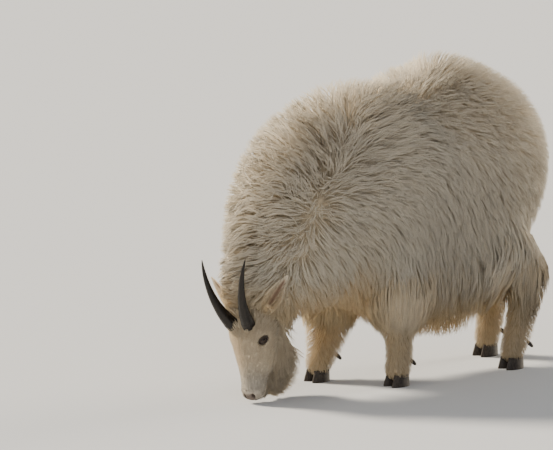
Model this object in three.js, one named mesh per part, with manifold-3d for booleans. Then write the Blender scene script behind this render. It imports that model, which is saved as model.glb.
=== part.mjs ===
// Mountain goat, life size, standing with the head down and the muzzle near the ground.
// Millimetres, +Z up. The goat faces -Y, its left side is +X, the soles are on z = 0.
// The solids follow the outer coat, out to the hair tips.
import * as THREE from 'three';
import Module from 'manifold-3d';

const wasm = await Module();
wasm.setup();

// ---------------------------------------------------------------- driving sizes
const GAP = 0.4;              // air between touching bodies
const LIFT = 6;               // the coat's sections stand this much higher than tabled
const CORONET = 40;           // height where leg hair ends and hoof begins
const FRONT_LEG_TOP = 300;    // front legs are parted from the trunk at this height
const HIND_LEG_TOP = 330;
const NECK_PLANE_Y = -455;    // neck and trunk part in front of the withers

const STEP_TRUNK = [54, 75, 61];      // facet sizes of the flesh bodies along x, y, z
const STEP_NECK = [50, 59, 58];
const STEP_HEAD = [22.3, 22, 28.6];
const STEP_LEG = [29.5, 29.5, 48];

const HORN_LENGTH = 236;      // along the curve
const HORN_SETOFF = 37;       // half distance between the horn cores
const HORN_DIVERGENCE = 0.244;
const HORN_START_ANGLE = 0.669;
const HORN_SWEEP = 0.98;
const HORN_RINGS = 5;
const EAR_LENGTH = 149;
const EAR_WIDTH = 64;
const EYE_RADIUS = 16.5;
const HOOF_LENGTH = 80;
const HOOF_WIDTH = 34;        // one claw
const HOOF_CLEFT = 5;
const DEWCLAW_LENGTH = 26;

// head frame: nose points down, forehead points forward, head turned a little to its left
const NOSE = new THREE.Vector3(0.165, -0.18, -0.970).normalize();
const BROW = new THREE.Vector3(0.16, -0.964, 0.207);
BROW.addScaledVector(NOSE, -BROW.dot(NOSE)).normalize();
const LEFT = new THREE.Vector3().crossVectors(BROW, NOSE).normalize();
const HEAD_ORIGIN = new THREE.Vector3(40, -862, 207 + LIFT);   // midway between the eyes
const hp = (n, d, l = 0) => HEAD_ORIGIN.clone().addScaledVector(NOSE, n).addScaledVector(BROW, d).addScaledVector(LEFT, l);
const at = (v) => [v.x, v.y, v.z - LIFT];

// section: centre, then the reach up, down and to the side from that centre
const TRUNK = [
  [[0, -490, 690], 235, 280, 170],
  [[0, -400, 690], 336, 380, 235],
  [[0, -280, 680], 340, 470, 262],
  [[0, -175, 680], 296, 545, 268],
  [[0, -110, 686], 300, 565, 267],
  [[0, -58, 694], 389, 583, 266],
  [[0, 30, 705], 384, 585, 262],
  [[0, 130, 705], 332, 540, 255],
  [[0, 225, 695], 278, 378, 232],
  [[0, 290, 695], 220, 236, 182],
];
const NECK = [
  [[0, -390, 690], 342, 330, 240],
  [[0, -530, 620], 342, 350, 240],
  [[8, -660, 510], 273, 285, 200],
  [[18, -768, 400], 190, 210, 114],
  [at(hp(-95, -65)), 103, 150, 82],
];
const HEAD = [
  [at(hp(-110, -40)), 60, 85, 70],
  [at(hp(-65, -35)), 84, 125, 84],
  [at(hp(-15, -40)), 82, 135, 84],
  [at(hp(40, -45)), 70, 120, 70],
  [at(hp(98, -50)), 56, 78, 54],
  [at(hp(146, -52)), 50, 50, 48],
  [at(hp(170, -53)), 41, 37, 41],
];
const BEARD = [
  [at(hp(-10, -190)), 105, 104, 62],
  [at(hp(50, -188)), 98, 96, 52],
  [at(hp(100, -176)), 80, 80, 40],
  [at(hp(148, -160)), 36, 40, 20],
];
// leg sections reach forward, back and to the side
const LEG_FRONT_LEFT = [
  [[120, -268, 46], 48, 47, 45],
  [[120, -262, 95], 49, 51, 47],
  [[121, -264, 160], 51, 54, 49],
  [[123, -268, 215], 78, 82, 70],
  [[128, -268, 320], 94, 98, 88],
  [[132, -275, 450], 110, 115, 100],
  [[130, -330, 620], 125, 150, 105],
];
const LEG_FRONT_RIGHT = [
  [[-120, -415, 46], 48, 47, 45],
  [[-120, -396, 95], 58, 60, 52],
  [[-122, -375, 160], 78, 80, 66],
  [[-124, -360, 215], 94, 94, 78],
  [[-128, -345, 320], 105, 110, 92],
  [[-132, -330, 450], 115, 120, 100],
  [[-130, -355, 620], 125, 150, 105],
];
const LEG_HIND_LEFT = [
  [[120, 238, 46], 45, 44, 43],
  [[120, 252, 95], 47, 55, 45],
  [[121, 270, 165], 50, 66, 47],
  [[123, 290, 240], 60, 78, 52],
  [[125, 288, 310], 82, 80, 64],
  [[132, 235, 400], 110, 66, 82],
  [[130, 165, 500], 130, 74, 98],
  [[110, 130, 660], 160, 140, 125],
];
const LEG_HIND_RIGHT = [
  [[-120, 330, 46], 45, 44, 43],
  [[-120, 338, 95], 47, 55, 45],
  [[-121, 348, 165], 50, 62, 47],
  [[-123, 354, 240], 62, 64, 52],
  [[-125, 332, 310], 85, 74, 64],
  [[-132, 265, 400], 115, 86, 84],
  [[-130, 185, 500], 135, 98, 100],
  [[-110, 140, 660], 160, 145, 125],
];
const TAIL = [
  [[0, 385, 815], 46, 46, 50],
  [[0, 446, 752], 34, 36, 46],
  [[0, 458, 676], 16, 18, 24],
];

// ---------------------------------------------------------------- the body as one smooth field
function catmull(rows, sub) {
  const out = [];
  const n = rows.length;
  for (let i = 0; i < n - 1; i++) {
    const p1 = rows[i], p2 = rows[i + 1];
    const p0 = i > 0 ? rows[i - 1] : p1.map((v, k) => 2 * v - p2[k]);
    const p3 = i < n - 2 ? rows[i + 2] : p2.map((v, k) => 2 * v - p1[k]);
    for (let j = 0; j < sub; j++) {
      const t = j / sub;
      out.push(p1.map((v, k) => 0.5 * (2 * v + (p2[k] - p0[k]) * t
        + (2 * p0[k] - 5 * v + 4 * p2[k] - p3[k]) * t * t
        + (3 * v - p0[k] - 3 * p2[k] + p3[k]) * t * t * t)));
    }
  }
  out.push(rows[n - 1]);
  return out;
}

function makeChain(sections, hint, blend, sub = 5) {
  const rows = catmull(sections.map(([c, u, d, s]) => [c[0], c[1], c[2] + LIFT, u, d, s]), sub);
  const segs = [];
  for (let i = 0; i < rows.length - 1; i++) {
    const a = new THREE.Vector3(...rows[i].slice(0, 3));
    const b = new THREE.Vector3(...rows[i + 1].slice(0, 3));
    const t = b.clone().sub(a);
    const len = t.length();
    t.normalize();
    const up = hint.clone().addScaledVector(t, -hint.dot(t)).normalize();
    const side = new THREE.Vector3().crossVectors(t, up);
    segs.push({ a, t, up, side, len, r0: rows[i].slice(3), r1: rows[i + 1].slice(3) });
  }
  return { segs, blend };
}

function chainValue(chain, x, y, z) {
  let best = 1e6;
  for (const g of chain.segs) {
    const px = x - g.a.x, py = y - g.a.y, pz = z - g.a.z;
    const along = px * g.t.x + py * g.t.y + pz * g.t.z;
    const t = Math.min(1, Math.max(0, along / g.len));
    const qa = along - t * g.len;
    const qu = px * g.up.x + py * g.up.y + pz * g.up.z;
    const qs = px * g.side.x + py * g.side.y + pz * g.side.z;
    const ru = g.r0[0] + (g.r1[0] - g.r0[0]) * t;
    const rd = g.r0[1] + (g.r1[1] - g.r0[1]) * t;
    const rs = g.r0[2] + (g.r1[2] - g.r0[2]) * t;
    const rv = qu > 0 ? ru : rd;
    const ra = Math.min(ru, rd, rs) * 0.8;
    const u = qu / rv, s = qs / rs, c = qa / ra;
    const k0 = Math.sqrt(u * u + s * s + c * c) + 1e-9;
    const k1 = Math.sqrt((u / rv) ** 2 + (s / rs) ** 2 + (c / ra) ** 2) + 1e-12;
    const f = k0 * (k0 - 1) / k1;
    if (f < best) best = f;
  }
  return best;
}

const smoothMin = (a, b, k) => {
  if (k <= 0) return Math.min(a, b);
  const h = Math.min(1, Math.max(0, 0.5 + 0.5 * (b - a) / k));
  return b + (a - b) * h - k * h * (1 - h);
};

const UP = new THREE.Vector3(0, 0, 1);
const AHEAD = new THREE.Vector3(0, -1, 0);
const CHAINS = [
  makeChain(TRUNK, UP, 0),
  makeChain(NECK, new THREE.Vector3(0, -0.6, 0.8), 80),
  makeChain(HEAD, BROW, 30),
  makeChain(BEARD, BROW, 30),
  makeChain(LEG_FRONT_LEFT, AHEAD, 40),
  makeChain(LEG_FRONT_RIGHT, AHEAD, 40),
  makeChain(LEG_HIND_LEFT, AHEAD, 30),
  makeChain(LEG_HIND_RIGHT, AHEAD, 30),
];

// the hair lies short around the eyes, so each eye sits in a shallow hollow
const EYES = { left: hp(-1, -15, 56), right: hp(-1, -15, -56) };
const HOLLOWS = [hp(0, -8, 105), hp(0, -8, -105)];
const HOLLOW_RADIUS = 36;
const SADDLE = [-180, 1183, 152];     // dip of the back before the hump: y, z and radius of a roll across it
const SADDLE_SWEEP = 0.95;            // how far its two halves lie back, per mm to the side

function bodyValue(x, y, z) {
  let f = 1e6;
  for (const c of CHAINS) f = smoothMin(chainValue(c, x, y, z), f, c.blend);
  for (const h of HOLLOWS) {
    const d = Math.hypot(x - h.x, y - h.y, z - h.z) - HOLLOW_RADIUS;
    f = -smoothMin(-f, d, 10);
  }
  if (z > 900) {
    const back = SADDLE_SWEEP * (Math.hypot(x, 30) - 30);
    f = -smoothMin(-f, Math.hypot(y - SADDLE[0] - back, z - SADDLE[1]) - SADDLE[2], 14);
  }
  return f;
}

// ---------------------------------------------------------------- meshing
// closed facet mesh of value < 0 inside a box, as {pos:[x,y,z...], tri:[...]}
function shellOf(value, lo, hi, step) {
  const n = [0, 1, 2].map((k) => Math.ceil((hi[k] - lo[k]) / step[k]) + 1);
  const small = Math.min(...step);
  const id = (i, j, k) => (i * n[1] + j) * n[2] + k;
  const f = new Float64Array(n[0] * n[1] * n[2]);
  for (let i = 0; i < n[0]; i++) for (let j = 0; j < n[1]; j++) for (let k = 0; k < n[2]; k++) {
    const edge = i === 0 || j === 0 || k === 0 || i === n[0] - 1 || j === n[1] - 1 || k === n[2] - 1;
    const v = value(lo[0] + i * step[0], lo[1] + j * step[1], lo[2] + k * step[2]);
    f[id(i, j, k)] = edge ? Math.max(v, small * 0.3) : v;
  }
  const cell = new Map();
  const P = [];
  const corner = [];
  for (let c = 0; c < 8; c++) corner.push([c & 1, (c >> 1) & 1, (c >> 2) & 1]);
  for (let i = 0; i < n[0] - 1; i++) for (let j = 0; j < n[1] - 1; j++) for (let k = 0; k < n[2] - 1; k++) {
    const vals = corner.map(([a, b, c]) => f[id(i + a, j + b, k + c)]);
    const inside = vals.filter((v) => v < 0).length;
    if (inside === 0 || inside === 8) continue;
    const p = [0, 0, 0];
    let m = 0;
    for (let a = 0; a < 8; a++) for (let b = a + 1; b < 8; b++) {
      const d = [0, 1, 2].map((q) => Math.abs(corner[a][q] - corner[b][q]));
      if (d[0] + d[1] + d[2] !== 1 || (vals[a] < 0) === (vals[b] < 0)) continue;
      const t = vals[a] / (vals[a] - vals[b]);
      for (let q = 0; q < 3; q++) p[q] += corner[a][q] + (corner[b][q] - corner[a][q]) * t;
      m++;
    }
    cell.set(id(i, j, k), P.length);
    P.push([lo[0] + (i + p[0] / m) * step[0], lo[1] + (j + p[1] / m) * step[1], lo[2] + (k + p[2] / m) * step[2]]);
  }
  const quads = [];
  for (let i = 0; i < n[0]; i++) for (let j = 0; j < n[1]; j++) for (let k = 0; k < n[2]; k++) {
    const here = [i, j, k];
    const a = f[id(i, j, k)] < 0;
    for (let ax = 0; ax < 3; ax++) {
      const next = [...here];
      next[ax]++;
      if (next[ax] >= n[ax]) continue;
      const b = f[id(...next)] < 0;
      if (a === b) continue;
      const o1 = (ax + 1) % 3, o2 = (ax + 2) % 3;
      const q = [[-1, -1], [0, -1], [0, 0], [-1, 0]].map(([d1, d2]) => {
        const c = [...here];
        c[o1] += d1;
        c[o2] += d2;
        return cell.get(id(...c));
      });
      quads.push(a ? q : q.reverse());
    }
  }
  relax(P, quads, value, lo, hi, step);
  const tri = [];
  const d2 = (a, b) => (P[a][0] - P[b][0]) ** 2 + (P[a][1] - P[b][1]) ** 2 + (P[a][2] - P[b][2]) ** 2;
  for (const [a, b, c, d] of quads) {
    if (d2(a, c) < d2(b, d)) tri.push(a, b, c, a, c, d);
    else tri.push(a, b, d, b, c, d);
  }
  return { pos: P.flat(), tri };
}

// even out the facets, keeping every corner on the body's surface
function relax(P, quads, value, lo, hi, step) {
  const near = P.map(() => new Set());
  for (const q of quads) for (let e = 0; e < 4; e++) {
    near[q[e]].add(q[(e + 1) % 4]);
    near[q[(e + 1) % 4]].add(q[e]);
  }
  const free = P.map((p) => p.every((v, k) => v > lo[k] + 1.6 * step[k] && v < hi[k] - 1.6 * step[k]));
  const most = 0.4 * Math.min(...step);
  for (let pass = 0; pass < 3; pass++) {
    const old = P.map((p) => [...p]);
    P.forEach((p, i) => {
      if (!free[i]) return;
      let m = 0;
      const c = [0, 0, 0];
      for (const j of near[i]) {
        m++;
        for (let k = 0; k < 3; k++) c[k] += old[j][k];
      }
      for (let k = 0; k < 3; k++) p[k] = old[i][k] * 0.5 + 0.5 * c[k] / m;
      for (let it = 0; it < 2; it++) {
        const e = 1.0;
        const f0 = value(...p);
        const g = [(value(p[0] + e, p[1], p[2]) - f0) / e, (value(p[0], p[1] + e, p[2]) - f0) / e, (value(p[0], p[1], p[2] + e) - f0) / e];
        const gg = g[0] ** 2 + g[1] ** 2 + g[2] ** 2;
        if (gg < 0.05) continue;
        const s = Math.max(-most, Math.min(most, f0)) / gg;
        for (let k = 0; k < 3; k++) p[k] -= s * g[k];
      }
    });
  }
}

// ---------------------------------------------------------------- solids
const solid = ({ pos, tri }) => new wasm.Manifold(new wasm.Mesh({
  numProp: 3, vertProperties: new Float32Array(pos), triVerts: new Uint32Array(tri),
}));

function fromGeometry(geo) {
  const src = geo.index ? geo : geo;
  const p = src.attributes.position;
  const key = new Map();
  const pos = [], map = [];
  for (let i = 0; i < p.count; i++) {
    const k = [p.getX(i), p.getY(i), p.getZ(i)].map((v) => Math.round(v * 1e4)).join();
    if (!key.has(k)) {
      key.set(k, pos.length / 3);
      pos.push(p.getX(i), p.getY(i), p.getZ(i));
    }
    map.push(key.get(k));
  }
  const idx = src.index ? Array.from(src.index.array) : [...Array(p.count).keys()];
  const tri = [];
  for (let i = 0; i < idx.length; i += 3) {
    const [a, b, c] = [map[idx[i]], map[idx[i + 1]], map[idx[i + 2]]];
    if (a !== b && b !== c && a !== c) tri.push(a, b, c);
  }
  return { pos, tri };
}

// a block between two corners, in the row frame or in the head frame
function block(lo, hi, matrix) {
  const g = new THREE.BoxGeometry(hi[0] - lo[0], hi[1] - lo[1], hi[2] - lo[2]);
  g.translate((lo[0] + hi[0]) / 2, (lo[1] + hi[1]) / 2, (lo[2] + hi[2]) / 2);
  if (matrix) g.applyMatrix4(matrix);
  return solid(fromGeometry(g));
}

// everything on the side of a plane that its normal points to
function side(point, normal, shift = 0) {
  const q = new THREE.Quaternion().setFromUnitVectors(UP, normal.clone().normalize());
  const p = point.clone().addScaledVector(normal.clone().normalize(), shift);
  const m = new THREE.Matrix4().compose(p, q, new THREE.Vector3(1, 1, 1));
  return block([-3000, -3000, 0], [3000, 3000, 3000], m);
}

// rings of equal count joined into a closed body; first and last are capped
function loft(rings) {
  const n = rings[0].length;
  const pos = rings.flat().flatMap((v) => [v.x, v.y, v.z]);
  const tri = [];
  for (let r = 0; r < rings.length - 1; r++) for (let i = 0; i < n; i++) {
    const a = r * n + i, b = r * n + (i + 1) % n, c = a + n, d = b + n;
    tri.push(a, b, d, a, d, c);
  }
  for (const [r, flip] of [[0, true], [rings.length - 1, false]]) {
    const mid = new THREE.Vector3();
    rings[r].forEach((v) => mid.add(v));
    mid.divideScalar(n);
    const m = pos.length / 3;
    pos.push(mid.x, mid.y, mid.z);
    for (let i = 0; i < n; i++) {
      const a = r * n + i, b = r * n + (i + 1) % n;
      tri.push(...(flip ? [m, b, a] : [m, a, b]));
    }
  }
  let vol = 0;
  for (let i = 0; i < tri.length; i += 3) {
    const [a, b, c] = [0, 1, 2].map((k) => new THREE.Vector3(...pos.slice(tri[i + k] * 3, tri[i + k] * 3 + 3)));
    vol += a.dot(b.cross(c));
  }
  if (vol < 0) for (let i = 0; i < tri.length; i += 3) [tri[i], tri[i + 1]] = [tri[i + 1], tri[i]];
  return { pos, tri };
}

// every edge is shared by two faces
function closed({ tri }) {
  const edges = new Map();
  for (let i = 0; i < tri.length; i++) {
    const a = tri[i], b = tri[i % 3 === 2 ? i - 2 : i + 1];
    const k = a < b ? `${a}_${b}` : `${b}_${a}`;
    edges.set(k, (edges.get(k) || 0) + 1);
  }
  return [...edges.values()].every((v) => v === 2);
}

// close up edges shorter than least, so no sliver is left beside a cut
function tidied({ pos, tri }, least) {
  const to = pos.map((_, i) => i);
  const find = (i) => { while (to[i] !== i) i = to[i]; return i; };
  const used = new Set();
  const near = new Map();
  for (let i = 0; i < tri.length; i++) {
    const a = tri[i], b = tri[i % 3 === 2 ? i - 2 : i + 1];
    if (!near.has(a)) near.set(a, new Set());
    if (!near.has(b)) near.set(b, new Set());
    near.get(a).add(b);
    near.get(b).add(a);
  }
  for (let i = 0; i < tri.length; i++) {
    const a = find(tri[i]), b = find(tri[i % 3 === 2 ? i - 2 : i + 1]);
    if (a === b || used.has(a) || used.has(b)) continue;
    const shared = [...near.get(a)].filter((v) => near.get(b).has(v));
    if (shared.length !== 2 || shared.some((v) => used.has(v))) continue;
    if (Math.hypot(pos[a * 3] - pos[b * 3], pos[a * 3 + 1] - pos[b * 3 + 1], pos[a * 3 + 2] - pos[b * 3 + 2]) < least) {
      to[b] = a;
      for (const v of [a, b, ...near.get(a), ...near.get(b)]) used.add(v);
    }
  }
  const out = [];
  for (let i = 0; i < tri.length; i += 3) {
    const [a, b, c] = [find(tri[i]), find(tri[i + 1]), find(tri[i + 2])];
    if (a !== b && b !== c && a !== c) out.push(a, b, c);
  }
  return { pos, tri: out };
}

// the same body grown by d along its corner normals, used as a cutter
function grown({ pos, tri }, d) {
  const nrm = pos.map(() => 0);
  for (let i = 0; i < tri.length; i += 3) {
    const [a, b, c] = [0, 1, 2].map((k) => new THREE.Vector3(...pos.slice(tri[i + k] * 3, tri[i + k] * 3 + 3)));
    const n = b.sub(a).cross(c.sub(a)).normalize();
    for (let k = 0; k < 3; k++) {
      nrm[tri[i + k] * 3] += n.x;
      nrm[tri[i + k] * 3 + 1] += n.y;
      nrm[tri[i + k] * 3 + 2] += n.z;
    }
  }
  const out = [...pos];
  for (let i = 0; i < pos.length; i += 3) {
    const n = new THREE.Vector3(nrm[i], nrm[i + 1], nrm[i + 2]).normalize();
    out[i] += n.x * d;
    out[i + 1] += n.y * d;
    out[i + 2] += n.z * d;
  }
  return { pos: out, tri };
}

// a plain convex plug round a body with d to spare on every side, used as a cutter
function plug({ pos }, d) {
  const points = [];
  for (let i = 0; i < pos.length; i += 3) {
    for (let k = 0; k < 3; k++) for (const s of [-d, d]) {
      const p = pos.slice(i, i + 3);
      p[k] += s;
      points.push(p);
    }
  }
  return wasm.Manifold.hull(points);
}

const table = (rows, t) => {
  for (let i = 1; i < rows.length; i++) if (t <= rows[i][0]) {
    const [a, u] = rows[i - 1], [b, v] = rows[i];
    return u + (v - u) * (t - a) / (b - a);
  }
  return rows[rows.length - 1][1];
};

// ---------------------------------------------------------------- horns, ears, eyes, feet
const HORN_RADIUS = [[0, 23], [0.12, 20.5], [0.3, 15.8], [0.55, 11], [0.8, 6.6], [0.95, 3], [1, 1.2]];
function horn(sideSign) {
  const rings = [];
  const steps = 12, count = 9;
  const p = hp(-59, 43, HORN_SETOFF * sideSign);
  const dir = (t) => {
    const th = HORN_START_ANGLE + HORN_SWEEP * t;
    return new THREE.Vector3()
      .addScaledVector(BROW, Math.cos(th) * Math.cos(HORN_DIVERGENCE))
      .addScaledVector(NOSE, -Math.sin(th) * Math.cos(HORN_DIVERGENCE))
      .addScaledVector(LEFT, sideSign * Math.sin(HORN_DIVERGENCE));
  };
  p.addScaledVector(dir(0), -22);
  const total = HORN_LENGTH + 22;
  for (let i = 0; i <= steps; i++) {
    const s = i / steps;
    const t = Math.max(0, (s * total - 22) / HORN_LENGTH);
    const d = dir(t);
    const across = LEFT.clone().addScaledVector(d, -LEFT.dot(d)).normalize();
    const front = new THREE.Vector3().crossVectors(d, across);
    const ripple = t < 0.5 && i % 2 === 1 ? -0.9 : 0;
    const r = table(HORN_RADIUS, t) + ripple;
    const ring = [];
    for (let k = 0; k < count; k++) {
      const a = 2 * Math.PI * k / count;
      ring.push(p.clone().addScaledVector(front, 1.04 * r * Math.cos(a)).addScaledVector(across, 0.93 * r * Math.sin(a)));
    }
    rings.push(ring);
    p.addScaledVector(d, total / steps);
  }
  return loft(rings);
}

// leaf-shaped, cupped ear; t runs from root to tip
const EAR_WIDTH_AT = [[0, 0.6], [0.12, 0.82], [0.3, 1], [0.45, 0.95], [0.65, 0.72], [0.85, 0.38], [0.95, 0.18], [1, 0.07]];
function ear(sideSign) {
  const root = hp(-103, -10, 72 * sideSign);
  const along = new THREE.Vector3().addScaledVector(LEFT, 0.667 * sideSign).addScaledVector(NOSE, -0.739).addScaledVector(BROW, 0.097).normalize();
  const open = new THREE.Vector3().addScaledVector(LEFT, 0.45 * sideSign).addScaledVector(BROW, 0.85).addScaledVector(NOSE, 0.2);
  open.addScaledVector(along, -open.dot(along)).normalize();
  const wide = new THREE.Vector3().crossVectors(along, open).normalize();
  const rings = [];
  const steps = 7, half = 5;
  for (let i = 0; i <= steps; i++) {
    const t = i / steps;
    const w = EAR_WIDTH / 2 * table(EAR_WIDTH_AT, t);
    const thick = 9 * (1 - 0.72 * t);
    const cup = w * (0.62 - 0.35 * t);
    const bend = 10 * t * t;
    const c = root.clone().addScaledVector(along, -16 + (EAR_LENGTH + 16) * t).addScaledVector(open, -bend);
    const ring = [];
    for (let k = 0; k <= half; k++) {
      const s = -1 + 2 * k / half;
      ring.push(c.clone().addScaledVector(wide, w * s).addScaledVector(open, -cup * (1 - s * s)));
    }
    for (let k = half - 1; k > 0; k--) {
      const s = -1 + 2 * k / half;
      ring.push(c.clone().addScaledVector(wide, w * s).addScaledVector(open, -cup * (1 - s * s) - thick * Math.sqrt(1 - s * s) - 0.6));
    }
    rings.push(ring);
  }
  return loft(rings);
}

// short tail hanging against the rump
function tailLoft() {
  const rows = catmull(TAIL.map(([c, u, d, w]) => [c[0], c[1], c[2] + LIFT, u, d, w]), 3);
  const rings = [];
  const put = (row, k, drop) => {
    const [x, y, z, u, d, w] = row;
    const ring = [];
    for (let i = 0; i < 10; i++) {
      const a = 2 * Math.PI * i / 10;
      const r = Math.cos(a) > 0 ? u : d;
      ring.push(new THREE.Vector3(x + w * k * Math.sin(a), y + r * k * Math.cos(a), z + drop + 0.45 * r * k * Math.cos(a)));
    }
    rings.push(ring);
  };
  put(rows[0], 0.45, 34);
  put(rows[0], 0.8, 20);
  rows.forEach((row) => put(row, 1, 0));
  put(rows[rows.length - 1], 0.5, -12);
  return loft(rings);
}

function eye(which) {
  const g = new THREE.SphereGeometry(EYE_RADIUS, 11, 7);
  g.translate(EYES[which].x, EYES[which].y, EYES[which].z);
  return fromGeometry(g);
}

// one claw of a cloven hoof: flat sole, round toe in front, straight inner wall
function claw(foot, sideSign, heading, width = HOOF_WIDTH, length = HOOF_LENGTH) {
  const outline = (grow, toe, heel, z) => {
    const ring = [];
    const n = 10;
    for (let k = 0; k < n; k++) {
      const a = 2 * Math.PI * k / n;
      let x = Math.cos(a), y = Math.sin(a);
      x = x > 0 ? x * (width / 2 + grow) : x * (width / 2 - 1 + grow * 0.3);
      y = y < 0 ? y * (length / 2 + toe) : y * (length / 2 + heel) * 0.92;
      if (y < 0) x *= 1 - 0.28 * (y / length) ** 2 * 4;
      ring.push([x, y, z]);
    }
    return ring;
  };
  const levels = [
    outline(-1.2, -1.2, -1.2, 0),
    outline(0, 0, 0, 3),
    outline(-1.5, -4, 0, 16),
    outline(-3, -9, 0, 30),
    outline(-3.6, -12, -1, CORONET - GAP),
  ];
  const cx = sideSign * (width / 2 + HOOF_CLEFT / 2);
  const ca = Math.cos(heading + sideSign * 0.05), sa = Math.sin(heading + sideSign * 0.05);
  const rings = levels.map((ring) => ring.map(([x, y, z]) => {
    const X = x * sideSign + cx, Y = y - 6;
    return new THREE.Vector3(foot[0] + X * ca - Y * sa, foot[1] + X * sa + Y * ca, z);
  }));
  return loft(rings);
}

function dewclaw(point, sideSign) {
  const d = new THREE.Vector3(0.25 * sideSign, 0.62, -0.74).normalize();
  const u = new THREE.Vector3(1, 0, 0).addScaledVector(d, -d.x).normalize();
  const v = new THREE.Vector3().crossVectors(d, u);
  const rings = [[0, 7.4], [0.4, 8.8], [0.8, 6.8], [1, 2.4]].map(([t, r]) => {
    const ring = [];
    for (let k = 0; k < 6; k++) {
      const a = 2 * Math.PI * k / 6;
      ring.push(point.clone().addScaledVector(d, DEWCLAW_LENGTH * t)
        .addScaledVector(u, r * Math.cos(a)).addScaledVector(v, 0.8 * r * Math.sin(a)));
    }
    return ring;
  });
  return loft(rings);
}

// ---------------------------------------------------------------- parting the body
const headMatrix = new THREE.Matrix4().makeBasis(LEFT, BROW, NOSE).setPosition(HEAD_ORIGIN);
const headPlane = { point: hp(-130, 20), normal: new THREE.Vector3().addScaledVector(NOSE, 0.925).addScaledVector(BROW, 0.375) };
const beardBlock = (s) => block([-150, -320, -25 - s], [150, -112 + s, 300], headMatrix);
const legBlocks = {
  leg_front_left: (s) => block([38 - s, -392 - s, -50], [500, -158 + s, FRONT_LEG_TOP + s]),
  leg_front_right: (s) => block([-500, -540 - s, -50], [-38 + s, -232 + s, FRONT_LEG_TOP + s]),
  leg_hind_left: (s) => block([-s, 128 - s, -50], [500, 800, HIND_LEG_TOP + s]),
  leg_hind_right: (s) => block([-500, 128 - s, -50], [s === 0 ? -GAP : s, 800, HIND_LEG_TOP + s]),
};
const legChains = {
  leg_front_left: LEG_FRONT_LEFT, leg_front_right: LEG_FRONT_RIGHT,
  leg_hind_left: LEG_HIND_LEFT, leg_hind_right: LEG_HIND_RIGHT,
};

// the largest single piece of a body
function whole(m) {
  const parts = m.decompose();
  return parts.reduce((a, b) => (b.volume() > a.volume() ? b : a));
}

const bodies = {};
const tail = tailLoft();
const eyes = { left: eye('left'), right: eye('right') };
const horns = { left: horn(1), right: horn(-1) };
const ears = { left: ear(1), right: ear(-1) };

// trunk
let trunk = solid(shellOf(bodyValue, [-380, -560, 60], [380, 560, 1160], STEP_TRUNK));
trunk = trunk.subtract(side(new THREE.Vector3(0, NECK_PLANE_Y, 0), AHEAD, -GAP));
for (const k of Object.keys(legBlocks)) trunk = trunk.subtract(legBlocks[k](GAP));
trunk = trunk.subtract(solid(grown(tail, GAP * 1.6)));
bodies.trunk = whole(trunk);

// neck
let neck = solid(shellOf(bodyValue, [-340, -1060, 120], [340, -360, 1100], STEP_NECK));
neck = neck.intersect(side(new THREE.Vector3(0, NECK_PLANE_Y, 0), AHEAD));
neck = neck.subtract(side(headPlane.point, headPlane.normal, -GAP));
neck = neck.subtract(legBlocks.leg_front_right(GAP)).subtract(legBlocks.leg_front_left(GAP)).subtract(beardBlock(GAP));
bodies.neck = whole(neck);

// head and beard
const headShell = solid(shellOf(bodyValue, [-190, -1080, -60], [270, -560, 430], STEP_HEAD));
let head = headShell.intersect(side(headPlane.point, headPlane.normal)).subtract(beardBlock(GAP));
for (const k of ['left', 'right']) {
  head = head.subtract(solid(grown(eyes[k], GAP * 1.3)));
  head = head.subtract(solid(grown(horns[k], GAP * 1.6)));
  head = head.subtract(plug(ears[k], 1));
}
bodies.neck = whole(bodies.neck.subtract(plug(ears.left, 1)).subtract(plug(ears.right, 1))
  .subtract(solid(grown(horns.left, 2))).subtract(solid(grown(horns.right, 2))));
bodies.head = whole(head);
bodies.beard = whole(headShell.intersect(side(headPlane.point, headPlane.normal)).intersect(beardBlock(0)));
bodies.tail = solid(tail);

// legs with hooves and dewclaws
const hooves = {}, dews = {};
for (const [name, rows] of Object.entries(legChains)) {
  const foot = rows[0][0], heel = rows[1][0];
  const hind = name.includes('hind');
  const ys = rows.map((r) => r[0][1]);
  const lo = [foot[0] > 0 ? -43.7 : -331.3, Math.min(...ys) - 233.3, -61.7];
  const hi = [foot[0] > 0 ? 330 : 40, Math.max(...ys) + 230, (hind ? HIND_LEG_TOP : FRONT_LEG_TOP) + 70];
  let leg = solid(shellOf(bodyValue, lo, hi, STEP_LEG)).intersect(legBlocks[name](0));
  if (name === 'leg_front_right') leg = leg.subtract(beardBlock(GAP));
  leg = leg.intersect(side(new THREE.Vector3(0, 0, CORONET), UP));
  for (const [where, s] of [['outer', Math.sign(foot[0])], ['inner', -Math.sign(foot[0])]]) {
    hooves[`hoof_${name.slice(4)}_${where}`] = claw([foot[0], foot[1] + 2, 0], s, 0);
    const p = new THREE.Vector3(heel[0] + s * 17, heel[1] + rows[1][2] - 13, 86);
    const d = dewclaw(p, s);
    dews[`dewclaw_${name.slice(4)}_${where}`] = d;
    leg = leg.subtract(solid(grown(d, GAP * 1.4)));
  }
  bodies[name] = whole(leg);
}

for (const k of ['left', 'right']) {
  bodies[`eye_${k}`] = solid(eyes[k]);
  bodies[`horn_${k}`] = solid(horns[k]);
  bodies[`ear_${k}`] = solid(ears[k]).subtract(solid(grown(horns[k], 1)));
}
for (const [k, v] of Object.entries({ ...hooves, ...dews })) bodies[k] = solid(v);

// ---------------------------------------------------------------- named meshes
const LOOKS = {
  coat: { color: 0xe9e0cc, roughness: 0.92, metalness: 0 },
  horn: { color: 0x17130f, roughness: 0.32, metalness: 0 },
  hoof: { color: 0x221c17, roughness: 0.55, metalness: 0 },
  eye: { color: 0x15100c, roughness: 0.12, metalness: 0 },
};
const lookOf = (name) => (name.startsWith('horn') ? 'horn' : name.startsWith('hoof') || name.startsWith('dewclaw') ? 'hoof'
  : name.startsWith('eye') ? 'eye' : 'coat');

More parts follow.
